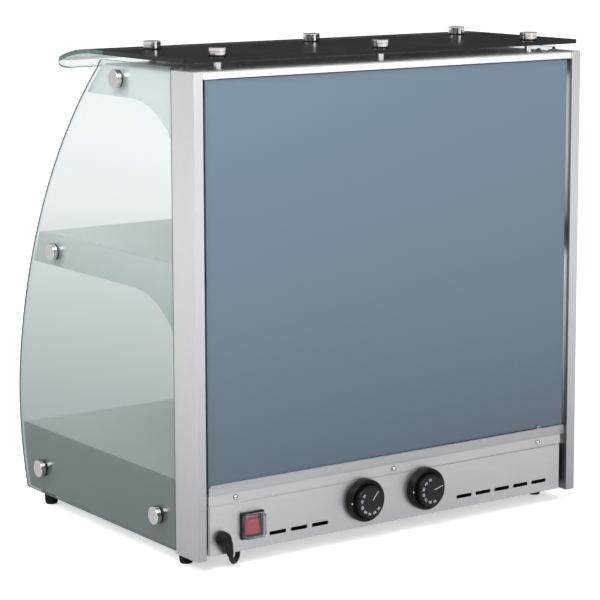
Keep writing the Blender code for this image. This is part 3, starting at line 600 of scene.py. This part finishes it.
def coil_points():
    """Turns side by side and then on top, stepping over in the last sixth of each turn."""
    points = []
    per_turn = 24
    quarter = per_turn // 4
    for i in range(1, per_turn * (len(COIL_TURN_R) - 1) + quarter + 1):
        turns = i / per_turn
        number = int(turns)
        following = min(number + 1, len(COIL_TURN_R) - 1)
        over = ease(6 * (turns - number) - 5)
        radius = COIL_TURN_R[number] * (1 - over) + COIL_TURN_R[following] * over
        layer = TURN_LAYER[number] * (1 - over) + TURN_LAYER[following] * over
        angle = -2 * math.pi * turns
        points.append(Vector((
            COIL_X + radius * math.cos(angle), COIL_Y + radius * math.sin(angle),
            CORD_LIFT + LAYER_RISE * layer)))
    return points


def plug_place():
    """Where the plug's face is, and the way its pins point."""
    lean = math.radians(8)
    tail_r = 4.4 * MM
    gap = 0.6 * MM
    outside = max(COIL_TURN_R) + CORD_R
    off = COIL_TURN_R[-1]
    tail_x = COIL_X - math.sqrt(outside ** 2 - (off - tail_r) ** 2) - gap
    rim_centre_z = 18 * MM * math.cos(lean) + 8 * MM * math.sin(lean) + 0.2 * MM
    face = Vector((tail_x - PLUG_LENGTH * math.cos(lean), COIL_Y - off, rim_centre_z))
    return face, Vector((-math.cos(lean), 0, math.sin(lean)))


def lead_points():
    """Straight out of the sleeve, down to the counter, under the case and into the coil."""
    way = SLEEVE_WAY
    mouth = SLEEVE_START + way * SLEEVE_LENGTH
    start = mouth + way * CORD_STRAIGHT
    level = Vector((way.x, way.y, 0)).normalized()
    drop = start.z - CORD_LIFT
    slope = math.asin(-way.z)
    bend_r = drop / (1 - math.cos(slope))
    fall = [mouth, start]
    for share in (0.25, 0.5, 0.75):
        angle = slope * (1 - share)
        along = bend_r * (math.sin(slope) - math.sin(angle))
        down = bend_r * (math.cos(angle) - math.cos(slope))
        fall.append(start + level * along - Vector((0, 0, down)))
    fall.append(start + level * bend_r * math.sin(slope) - Vector((0, 0, drop)))
    along_counter = [Vector((x * MM, depth(d), CORD_LIFT)) for x, d in CORD_ROUTE]
    route = smooth_route(fall + along_counter, ROUTE_SPACING)
    entry = Vector((COIL_X + COIL_TURN_R[0], COIL_Y, CORD_LIFT))
    between = [route[-1].lerp(entry, share) for share in (0.5, 1.0)]
    face, way_out = plug_place()
    tail = face - way_out * CORD_IN_PLUG
    return route + between + coil_points() + [tail]


def smooth_route(points, spacing):
    """Evenly spaced points on a smooth curve through the given points."""
    path = []
    for i in range(len(points) - 1):
        before = points[max(i - 1, 0)]
        start, end = points[i], points[i + 1]
        after = points[min(i + 2, len(points) - 1)]
        for step in range(ROUTE_STEPS):
            t = step / ROUTE_STEPS
            path.append(0.5 * (
                2 * start + (end - before) * t
                + (2 * before - 5 * start + 4 * end - after) * t * t
                + (3 * start - before - 3 * end + after) * t ** 3))
    path.append(points[-1])
    kept = [path[0]]
    for point in path[1:]:
        if (point - kept[-1]).length >= spacing:
            kept.append(point)
    kept[-1] = path[-1]
    return kept


def make_lead():
    """A flexible PVC lead: one round tube along its whole route, coil and all."""
    curve = bpy.data.curves.new("mains_lead_cord", "CURVE")
    curve.dimensions = "3D"
    curve.bevel_depth = CORD_R
    curve.bevel_resolution = 5
    curve.use_fill_caps = True
    points = lead_points()
    spline = curve.splines.new("POLY")
    spline.points.add(len(points) - 1)
    for point, place in zip(spline.points, points):
        point.co = (*place, 1)
    spline.use_smooth = True
    lead = bpy.data.objects.new("mains_lead_cord", curve)
    bpy.context.scene.collection.objects.link(lead)
    return finished(lead, CORD_PVC, "case", "rubber", "mains_lead", "mains_lead_coil")


def make_gland():
    """Round rubber boot in the panel, with a ribbed sleeve that turns the lead down."""
    face = depth(7)
    dome = turned("gland_dome", [
        (7.9 * MM, -10 * MM), (7.9 * MM, 0.2 * MM), (9.8 * MM, 0.3 * MM), (10.0 * MM, 1.0 * MM),
        (10.0 * MM, 6 * MM), (9.6 * MM, 8.6 * MM), (8.6 * MM, 11 * MM), (7.0 * MM, 12.9 * MM),
        (4.8 * MM, 14.1 * MM), (2.2 * MM, 14.6 * MM),
    ], 48, crease=50)
    moved(dome, (GLAND_X, face, GLAND_Z), (0, 1, 0))
    rings = [
        (6.4 * MM, -4 * MM), (6.2 * MM, 2 * MM), (5.8 * MM, 5 * MM), (5.3 * MM, 10 * MM),
        (4.8 * MM, 16 * MM), (4.6 * MM, SLEEVE_LENGTH - 0.8 * MM), (4.3 * MM, SLEEVE_LENGTH)]
    sleeve = moved(turned("gland_sleeve", rings, 40), SLEEVE_START, SLEEVE_WAY)
    gland = joined([dome, sleeve], "strain_relief_boot")
    return finished(gland, RUBBER, "case", "rubber", "cord_gland")


def make_plug():
    """Moulded two-pin plug with a ribbed tail; its pins are part plastic, part nickel."""
    face, way = plug_place()
    rings = [(17.2 * MM, 0), (18 * MM, -0.8 * MM), (18 * MM, -7.2 * MM), (17.2 * MM, -8.6 * MM),
             (15.4 * MM, -12.5 * MM), (14.6 * MM, -17 * MM), (13.6 * MM, -24 * MM),
             (11.2 * MM, -28.5 * MM), (8 * MM, -32 * MM), (6.2 * MM, -35 * MM)]
    for i in range(5):
        start = -36 - i * 3.9
        radius = (5.8 - 0.28 * i) * MM
        rings += [(radius, start * MM), (radius, (start - 1.9) * MM),
                  (radius - 0.9 * MM, (start - 2.3) * MM), (radius - 0.9 * MM, (start - 3.4) * MM)]
    rings.append((3.9 * MM, -PLUG_LENGTH))
    body = turned("mains_plug_body", rings, 56, crease=26)
    moved(body, face, way)
    pins, sleeves = [], []
    across = Vector((0, 1, 0))
    for side in (-1, 1):
        root = face + across * (side * 9.5 * MM)
        sleeve = turned("pin_sleeve", [(2.3 * MM, -1 * MM), (2.3 * MM, 9 * MM)], 32)
        sleeves.append(moved(sleeve, root, way))
        pin = turned("pin", [(2.4 * MM, 9 * MM), (2.4 * MM, 17.6 * MM), (2.0 * MM, 18.6 * MM),
                             (1.2 * MM, 19 * MM)], 32, crease=40)
        pins.append(moved(pin, root, way))
    body = joined([body] + sleeves, "mains_plug_body")
    finished(body, BLACK_ABS, "case", "black_plastic", "mains_plug")
    pins = finished(joined(pins, "mains_plug_pins"), NICKEL, "case", "polished_steel")
    return body, pins


# ---------------------------------------------------------------- glass

def make_side_panes():
    """Clear panes with a polished, faintly green edge all round."""
    for side, label in ((1, "left"), (-1, "right")):
        pane = polished_pane(f"side_glass_{label}", f"side_pane_{label}", 0, 0.9 * MM)
        pane.data.materials.append(CLEAR_GLASS)
        pane.data.materials.append(GLASS_EDGE)
        for face in pane.data.polygons:
            face.material_index = 0 if abs(face.normal.x) > 0.98 else 1
        finished(pane, None, "case", "clear_glass", f"side_glass_{label}")


def make_top_pane():
    """Black enamelled pane, clear from a little behind its bend to the front; its pale underside is
    a painted reflection.
    """
    bend = depth(252)
    enamel_end = depth(222)
    pane = polished_pane("top_glass", "top_pane", 2, 0.9 * MM, lambda centre: centre.y > bend)
    edit(pane)
    pick_all()
    bpy.ops.mesh.bisect(plane_co=(0, enamel_end, 0), plane_no=(0, 1, 0))
    leave_edit()
    for finish in (BLACK_GLASS, VISOR_GLASS, GLASS_EDGE, PAINTED_REFLECTION_BACK):
        pane.data.materials.append(finish)
    for face in pane.data.polygons:
        if face.center.y > enamel_end:
            # painted reflection: the underside takes the pale backing, so that the roof beneath
            # reflects brightness
            face.material_index = 3 if face.normal.z < -0.9 else 0
        else:
            upright = abs(face.normal.z)
            face.material_index = 1 if upright > 0.75 and abs(face.normal.x) < 0.3 else 2
    finished(pane, None, "case", "black_glass", "top_glass")


def make_door():
    """Reflective pane with a ground edge, in its bottom rail and upper pivot."""
    pane = polished_pane("door_glass", "door_pane", 1, 0.3 * MM)
    pane.data.materials.append(DOOR_GLASS)
    pane.data.materials.append(GLASS_EDGE)
    for face in pane.data.polygons:
        face.material_index = 0 if abs(face.normal.y) > 0.9 else 1
    finished(pane, None, "door", "tinted_glass", "door_glass")
    rail = from_node("door_rail", "door_bottom_rail", 0.35 * MM, 2)
    finished(rail, ALUMINIUM, "door", "aluminium", "door_rail")
    clamp = from_node("door_top_pivot", "door_pivot_clamp", 0.5 * MM, 2)
    finished(clamp, ALUMINIUM, "door", "aluminium", "door_top_pivot")


# ---------------------------------------------------------------- clamps, standoffs, screws

CAP_PLACES = ((187.6, 628), (373.7, 369), (421.5, 42), (98.6, 44))


def make_clamps():
    """Round glass clamps: a faced and polished cap on a black washer, a nut behind the plate."""
    head = turned("clamp_head", [
        (3.2 * MM, -15 * MM), (3.2 * MM, 1.6 * MM), (11.9 * MM, 1.6 * MM), (12.6 * MM, 2.2 * MM),
        (12.6 * MM, 8.0 * MM), (12.3 * MM, 8.5 * MM), (11.8 * MM, 8.7 * MM),
    ])
    washer = turned("clamp_washer", [
        (3.6 * MM, 0.1 * MM), (12.0 * MM, 0.1 * MM), (12.2 * MM, 0.4 * MM), (12.2 * MM, 1.4 * MM),
        (3.6 * MM, 1.4 * MM)], 48, hollow=True)
    nut = turned("clamp_nut", [
        (5.6 * MM, -14.6 * MM), (6.3 * MM, -14.0 * MM), (6.3 * MM, -11.6 * MM),
        (5.6 * MM, -11.2 * MM)], 6)
    for side, label in ((1, "left"), (-1, "right")):
        for number, (cap_depth, cap_height) in enumerate(CAP_PLACES, 1):
            place = (side * SIDE_X, depth(cap_depth), height(cap_height))
            cap = moved(twin(head, f"clamp_cap_{label}_{number}"), place, (side, 0, 0))
            cap.data.materials.clear()
            cap.data.materials.append(POLISHED)
            cap.data.materials.append(FACED)
            for face in cap.data.polygons:
                face.material_index = 1 if face.normal.x * side > 0.9 else 0
            finished(cap, None, "case", "polished_steel", f"pane_cap_{label}_{number}")
            ring = moved(twin(washer, f"clamp_washer_{label}_{number}"), place, (side, 0, 0))
            finished(ring, NYLON, "case", "black_plastic")
            hex_nut = moved(twin(nut, f"clamp_nut_{label}_{number}"), place, (side, 0, 0))
            finished(hex_nut, POLISHED, "case", "polished_steel")
    for pattern_piece in (head, washer, nut):
        bpy.data.objects.remove(pattern_piece)


STANDOFF_DEPTHS = (41, 205)
STANDOFF_X = (-266 * MM, 0.0, 266 * MM)


def make_standoffs():
    """Polished standoffs: a two-part head over the glass and a slim spacer below it."""
    roof = height(646)
    under_glass = height(658)
    seat = under_glass + 6.3 * MM
    head = turned("standoff_head", [
        (3.2 * MM, roof - 7 * MM), (3.2 * MM, roof + 0.4 * MM), (7.2 * MM, roof + 0.4 * MM),
        (7.2 * MM, roof + 1.4 * MM), (5.3 * MM, roof + 1.6 * MM),
        (5.3 * MM, under_glass - 1.5 * MM), (3.2 * MM, under_glass - 1.5 * MM),
        (3.2 * MM, seat + 1.0 * MM), (11.4 * MM, seat + 1.0 * MM), (12.3 * MM, seat + 1.6 * MM),
        (12.3 * MM, seat + 5.4 * MM), (11.9 * MM, seat + 5.8 * MM), (11.9 * MM, seat + 6.2 * MM),
        (12.3 * MM, seat + 6.6 * MM), (12.3 * MM, seat + 10.2 * MM), (11.5 * MM, seat + 11 * MM),
    ])
    washer = turned("standoff_washer", [
        (3.5 * MM, seat), (11.2 * MM, seat), (11.2 * MM, seat + 0.9 * MM),
        (3.5 * MM, seat + 0.9 * MM)], 48, hollow=True)
    lower = turned("standoff_seat", [
        (3.5 * MM, under_glass - 1.4 * MM), (7.4 * MM, under_glass - 1.4 * MM),
        (7.4 * MM, under_glass - 0.2 * MM), (3.5 * MM, under_glass - 0.2 * MM)], 40, hollow=True)
    for row, row_depth in enumerate(STANDOFF_DEPTHS, 1):
        for column, x in enumerate(STANDOFF_X, 1):
            label = f"{row}{column}"
            place = (x, depth(row_depth), 0)
            post = moved(twin(head, f"standoff_{label}"), place)
            finished(post, POLISHED, "case", "polished_steel", f"top_standoff_{label}")
            for source, kind in ((washer, "washer"), (lower, "seat")):
                ring = moved(twin(source, f"standoff_{kind}_{label}"), place)
                finished(ring, NYLON, "case", "black_plastic")
    for pattern_piece in (head, washer, lower):
        bpy.data.objects.remove(pattern_piece)


def make_screws():
    """Button-head screws in the sill strip and along the roof's rear edge."""
    button = turned("button_screw", [
        (2.0 * MM, -6 * MM), (2.0 * MM, 0.3 * MM), (3.7 * MM, 0.3 * MM), (3.95 * MM, 0.8 * MM),
        (3.7 * MM, 1.7 * MM), (3.0 * MM, 2.6 * MM), (2.1 * MM, 3.2 * MM), (1.5 * MM, 3.4 * MM),
        (1.3 * MM, 3.3 * MM), (1.1 * MM, 1.9 * MM),
    ], 36, crease=32)
    for number, x in enumerate((264.5 * MM, 0, -264.5 * MM), 1):
        screw = moved(twin(button, f"sill_button_screw_{number}"), (x, depth(7), height(78)),
                      (0, 1, 0))
        finished(screw, POLISHED, "case", "polished_steel", f"sill_screw_{number}")
    for number, x in enumerate((306, 217, 60, -60, -206, -306), 1):
        screw = moved(twin(button, f"roof_button_screw_{number}"), (x * MM, depth(64), height(646)))
        finished(screw, POLISHED, "case", "polished_steel")
    bpy.data.objects.remove(button)


# ---------------------------------------------------------------- dials and switch

DIAL_X = 53.5 * MM
DIAL_Z = height(42)
DIAL_R = 22.9 * MM
DIAL_FRONT = depth(-13)
BEZEL_FRONT = depth(-4.95)
INDEX_R = 27.2 * MM
NUMBER_R = 16.0 * MM
NUMBER_SIZE = 5.2 * MM
POINTERS = {"left": math.radians(50), "right": math.radians(15)}


def on_dial(x, radius, angle, front):
    """A place on a dial; the angle turns left from the staff's right-hand side."""
    return Vector((x - radius * math.cos(angle), front, DIAL_Z + radius * math.sin(angle)))


def printed_number(text, x, angle):
    """A raised number that stands on the dial's face with its foot to the centre."""
    deselect()
    bpy.ops.object.text_add()
    label = bpy.context.object
    label.data.body = text
    label.data.size = NUMBER_SIZE
    label.data.align_x = "CENTER"
    label.data.align_y = "CENTER"
    label.data.extrude = 0.05 * MM
    bpy.ops.object.convert(target="MESH")
    number = bpy.context.object
    up = Vector((-math.cos(angle), 0, math.sin(angle)))
    out = Vector((0, 1, 0))
    right = up.cross(out)
    turn = Matrix((right, up, out)).transposed().to_4x4()
    place = on_dial(x, NUMBER_R, angle, DIAL_FRONT + 0.1 * MM)
    number.data.transform(Matrix.Translation(place) @ turn)
    return number


def make_dials():
    """Round black knobs in domed bezels, with numbers and a pointer line that turn with them."""
    for side, label in ((1, "left"), (-1, "right")):
        x = side * DIAL_X
        rest = POINTERS[label]
        bezel = turned(f"bezel_{label}", [
            (23.6 * MM, -6.7 * MM), (30 * MM, -6.7 * MM), (30 * MM, 1.6 * MM),
            (29.5 * MM, 3.4 * MM), (28.2 * MM, 4.6 * MM), (26.4 * MM, 5 * MM),
            (24.4 * MM, 4.7 * MM), (23.6 * MM, 3.9 * MM)], 96, hollow=True)
        moved(bezel, (x, depth(0), DIAL_Z), (0, 1, 0))
        finished(bezel, BLACK_ABS, "case", "black_plastic", f"dial_bezel_{label}")
        dot = turned(f"index_dot_{label}", [(1.1 * MM, 0), (1.1 * MM, 0.12 * MM)], 24)
        moved(dot, on_dial(x, INDEX_R, math.pi, BEZEL_FRONT), (0, 1, 0))
        finished(dot, PRINT, "case", "black_plastic")
        knob = turned(f"knob_{label}", [
            (3.9 * MM, -30 * MM), (3.9 * MM, -5 * MM), (DIAL_R, -5 * MM),
            (DIAL_R, 10.2 * MM), (22.6 * MM, 11.6 * MM), (21.8 * MM, 12.6 * MM),
            (20.6 * MM, 13 * MM), (20.2 * MM, 12.8 * MM), (19.9 * MM, 12.7 * MM)], 96)
        moved(knob, (x, depth(0), DIAL_Z), (0, 1, 0))
        finished(knob, BLACK_ABS, f"dial_{label}", "black_plastic", f"thermostat_dial_{label}")
        disc = turned(f"dial_plate_{label}", [
            (20.3 * MM, 12.6 * MM), (20.3 * MM, 12.95 * MM), (20.0 * MM, 13.0 * MM)], 72)
        moved(disc, (x, depth(0), DIAL_Z), (0, 1, 0))
        finished(disc, DIAL_FACE, f"dial_{label}", "black_plastic")
        marks = []
        for i in range(7):
            angle = rest + math.radians(90 + 30 * i)
            marks.append(printed_number(str(30 + 10 * i), x, angle))
        line = block("pointer", (x + 3.5 * MM, DIAL_FRONT, DIAL_Z - 0.42 * MM),
                     (x + 19 * MM, DIAL_FRONT + 0.14 * MM, DIAL_Z + 0.42 * MM))
        about = Vector((x, 0, DIAL_Z))
        swing = Matrix.Rotation(math.pi + rest, 4, "Y")
        line.data.transform(Matrix.Translation(about) @ swing @ Matrix.Translation(-about))
        marks.append(line)
        finished(joined(marks, f"dial_print_{label}"), PRINT, f"dial_{label}", "black_plastic")


def make_switch():
    """Square rocker switch: frame, translucent red rocker and a clear splash cover."""
    housing = from_node("switch_housing", "switch_frame", 0.7 * MM, 3)
    finished(housing, BLACK_ABS, "case", "black_plastic", "switch_housing")
    rocker = from_node("switch_rocker", "rocker_key", 0.5 * MM, 3, 20)
    finished(rocker, RED_LENS, "rocker", "red_plastic", "switch_rocker")
    cover = from_node("switch_splash_cover", "splash_cover", 0.3 * MM, 2)
    finished(cover, VINYL, "case", "clear_vinyl", "switch_splash_cover")


# ---------------------------------------------------------------- feet and heaters

def make_feet():
    """Four tapered rubber feet, of one shape."""
    foot = turned("foot", [
        (8.0 * MM, 0.0), (8.2 * MM, 0.25 * MM), (9.0 * MM, 1.6 * MM), (9.6 * MM, 5 * MM),
        (10.3 * MM, 17 * MM), (10.8 * MM, 21 * MM), (10.8 * MM, height(8) - 0.3 * MM)], 48)
    for label, end in ((a, b) for a in ("left", "right") for b in ("front", "rear")):
        low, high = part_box(f"foot_{end}_{label}")
        middle = (low + high) / 2
        placed = moved(twin(foot, f"rubber_foot_{end}_{label}"), (middle.x, middle.y, 0))
        finished(placed, RUBBER, "case", "rubber", f"foot_{end}_{label}")
    bpy.data.objects.remove(foot)


def make_lamp():
    """Quartz tube with a tungsten coil and steatite ends, in its trough under the roof."""
    low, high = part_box("heat_lamp")
    middle = (low + high) / 2
    half = (high.x - low.x) / 2
    tube = turned("lamp_tube", [
        (3.9 * MM, 20 * MM - half), (5 * MM, 20 * MM - half), (5 * MM, half - 20 * MM),
        (3.9 * MM, half - 20 * MM)], 40, hollow=True)
    finished(moved(tube, middle, (1, 0, 0)), QUARTZ, "case", "quartz", "heat_lamp")
    ends = []
    for side in (1, -1):
        end = turned("lamp_end", [
            (6.2 * MM, 0), (7 * MM, 0.8 * MM), (7 * MM, 17 * MM), (6.4 * MM, 18 * MM),
            (5.3 * MM, 18.3 * MM), (5.3 * MM, 20 * MM)], 36)
        start = middle + Vector((side * half, 0, 0))
        ends.append(moved(end, start, (-side, 0, 0)))
    finished(joined(ends, "lamp_ceramic_ends"), CERAMIC, "case", "quartz")
    curve = bpy.data.curves.new("lamp_filament", "CURVE")
    curve.dimensions = "3D"
    curve.bevel_depth = 0.35 * MM
    curve.bevel_resolution = 1
    turns, per_turn = 70, 10
    reach = half - 22 * MM
    spline = curve.splines.new("POLY")
    spline.points.add(turns * per_turn)
    for i, point in enumerate(spline.points):
        share = i / (turns * per_turn)
        angle = 2 * math.pi * turns * share
        point.co = (
            middle.x - reach + 2 * reach * share,
            middle.y + 2.2 * MM * math.cos(angle), middle.z + 2.2 * MM * math.sin(angle), 1)
    filament = bpy.data.objects.new("lamp_filament", curve)
    bpy.context.scene.collection.objects.link(filament)
    finished(filament, TUNGSTEN, "case", "quartz")


# ---------------------------------------------------------------- sheet metal kept from the frame

KEPT_SOLIDS = (
    (STAINLESS, ("roof_lining", "shelf_underside", "base_pan", "control_panel", "sill_strip")),
    (TRAY, ("roof_box", "shelf_tray", "base_deck")),
    (SATIN, ("side_frame_left", "side_frame_right")),
    (ALUMINIUM, ("rear_post_left", "rear_post_right")),
    (POLISHED, ("lamp_reflector",)),
    (SILICONE, ("shelf_heating_mat", "base_heating_mat")),
    (MINERAL_WOOL, ("base_insulation",)),
    (BLACK_ABS, ("thermostat_left", "thermostat_right")),
)


def dress_kept_solids():
    """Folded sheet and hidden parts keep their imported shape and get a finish."""
    for finish, names in KEPT_SOLIDS:
        for name in names:
            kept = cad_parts[name]
            kept.data.materials.clear()
            kept.data.materials.append(finish)


# ---------------------------------------------------------------- floor and light

UNDER_CASE = (0.1, 0, 0)                      # where the floor's painted shade, seen in reflections, has its middle
DARK_REACH, PALE_REACH = 0.4, 3.4             # metres: the patch's edge and the full pale tone
HORIZON_TOP, SKY_FOOT = 0.2, 0.8              # height of a direction: end of the dark, full bright
LAMPS = (                                     # name, place, aim, size in metres, power in watts
    ("key", (1.5, 1.2, 1.9), (0.0, 0.1, 0.45), 1.2, 40),
    ("side", (2.1, -0.6, 1.7), (0.2, 0.0, 0.5), 1.2, 22),
    ("fill", (-0.5, 2.4, 1.3), (0.0, 0.2, 0.3), 1.4, 16),
)


def floor_paint():
    """Plain white paint when looked at directly.

    Reflections, and sight through glass, meet it with a painted shade: grey under the case and
    paler further off, in place of a room dim round the case.
    """
    made = bpy.data.materials.new("pale_floor_paint")
    made.use_nodes = True
    tree = made.node_tree
    tree.nodes.remove(tree.nodes["Principled BSDF"])
    where = node(tree, "ShaderNodeTexCoord").outputs["Object"]
    offset = node(tree, "ShaderNodeVectorMath", {0: where, 1: UNDER_CASE}, operation="DISTANCE")
    share = node(tree, "ShaderNodeMapRange", {
        "Value": offset.outputs["Value"], "From Min": DARK_REACH, "From Max": PALE_REACH})
    grey = node(tree, "ShaderNodeMix", {
        0: share.outputs["Result"], 6: linear("#5a5b5c"), 7: linear("#e4e4e5")},
        data_type="RGBA").outputs[2]
    seen = node(tree, "ShaderNodeBsdfDiffuse", {"Color": linear("#f4f4f4")})
    glow = node(tree, "ShaderNodeEmission", {"Color": (1, 1, 1, 1), "Strength": 0.5})
    bright = node(tree, "ShaderNodeAddShader", {0: seen.outputs[0], 1: glow.outputs[0]})
    matt = node(tree, "ShaderNodeBsdfDiffuse", {"Color": linear("#c8cacb")})
    # painted shade: the floor glows grey under the case and paler further off, for reflections and
    # sight through glass
    sheen = node(tree, "ShaderNodeEmission", {"Color": grey, "Strength": 0.95})
    mirrored = node(tree, "ShaderNodeAddShader", {0: matt.outputs[0], 1: sheen.outputs[0]})
    ray = node(tree, "ShaderNodeLightPath").outputs["Is Camera Ray"]
    mixed = node(tree, "ShaderNodeMixShader", {
        0: ray, 1: mirrored.outputs[0], 2: bright.outputs[0]})
    tree.links.new(mixed.outputs[0], tree.nodes["Material Output"].inputs["Surface"])
    return made


def make_floor():
    deselect()
    bpy.ops.mesh.primitive_plane_add(size=60, location=(0, 0, -0.0005))
    floor = bpy.context.object
    floor.name = "pale_floor"
    floor.data.materials.append(floor_paint())


def make_room():
    """Soft light from all round: dim at the horizon and bright overhead."""
    world = bpy.data.worlds.new("soft_room")
    world.use_nodes = True
    sky = world.node_tree
    way = node(sky, "ShaderNodeTexCoord").outputs["Generated"]
    lift = node(sky, "ShaderNodeSeparateXYZ", {"Vector": way}).outputs["Z"]
    share = node(sky, "ShaderNodeMapRange", {
        "Value": lift, "From Min": HORIZON_TOP, "From Max": SKY_FOOT})
    shade = node(sky, "ShaderNodeMix", {
        0: share.outputs["Result"], 6: linear("#3a3b3d"), 7: linear("#f7f7f8")},
        data_type="RGBA").outputs[2]
    sky.links.new(shade, sky.nodes["Background"].inputs["Color"])
    sky.nodes["Background"].inputs["Strength"].default_value = 1.0
    bpy.context.scene.world = world


def make_lamps():
    """Three square soft boxes round the staff side."""
    for name, place, aim, size, power in LAMPS:
        data = bpy.data.lights.new(f"{name}_light", "AREA")
        data.shape = "SQUARE"
        data.size = size
        data.energy = power
        lamp = bpy.data.objects.new(f"{name}_light", data)
        bpy.context.scene.collection.objects.link(lamp)
        turn = (Vector(aim) - Vector(place)).to_track_quat("-Z", "Y").to_matrix().to_4x4()
        lamp.matrix_world = Matrix.Translation(place) @ turn


bpy.context.scene.view_settings.view_transform = "Standard"
make_camera()
lead = make_lead()
gland = make_gland()
plug, plug_pins = make_plug()
make_side_panes()
make_top_pane()
make_door()
make_clamps()
make_standoffs()
make_screws()
make_dials()
make_switch()
make_feet()
make_lamp()
dress_kept_solids()
make_floor()
make_room()
make_lamps()
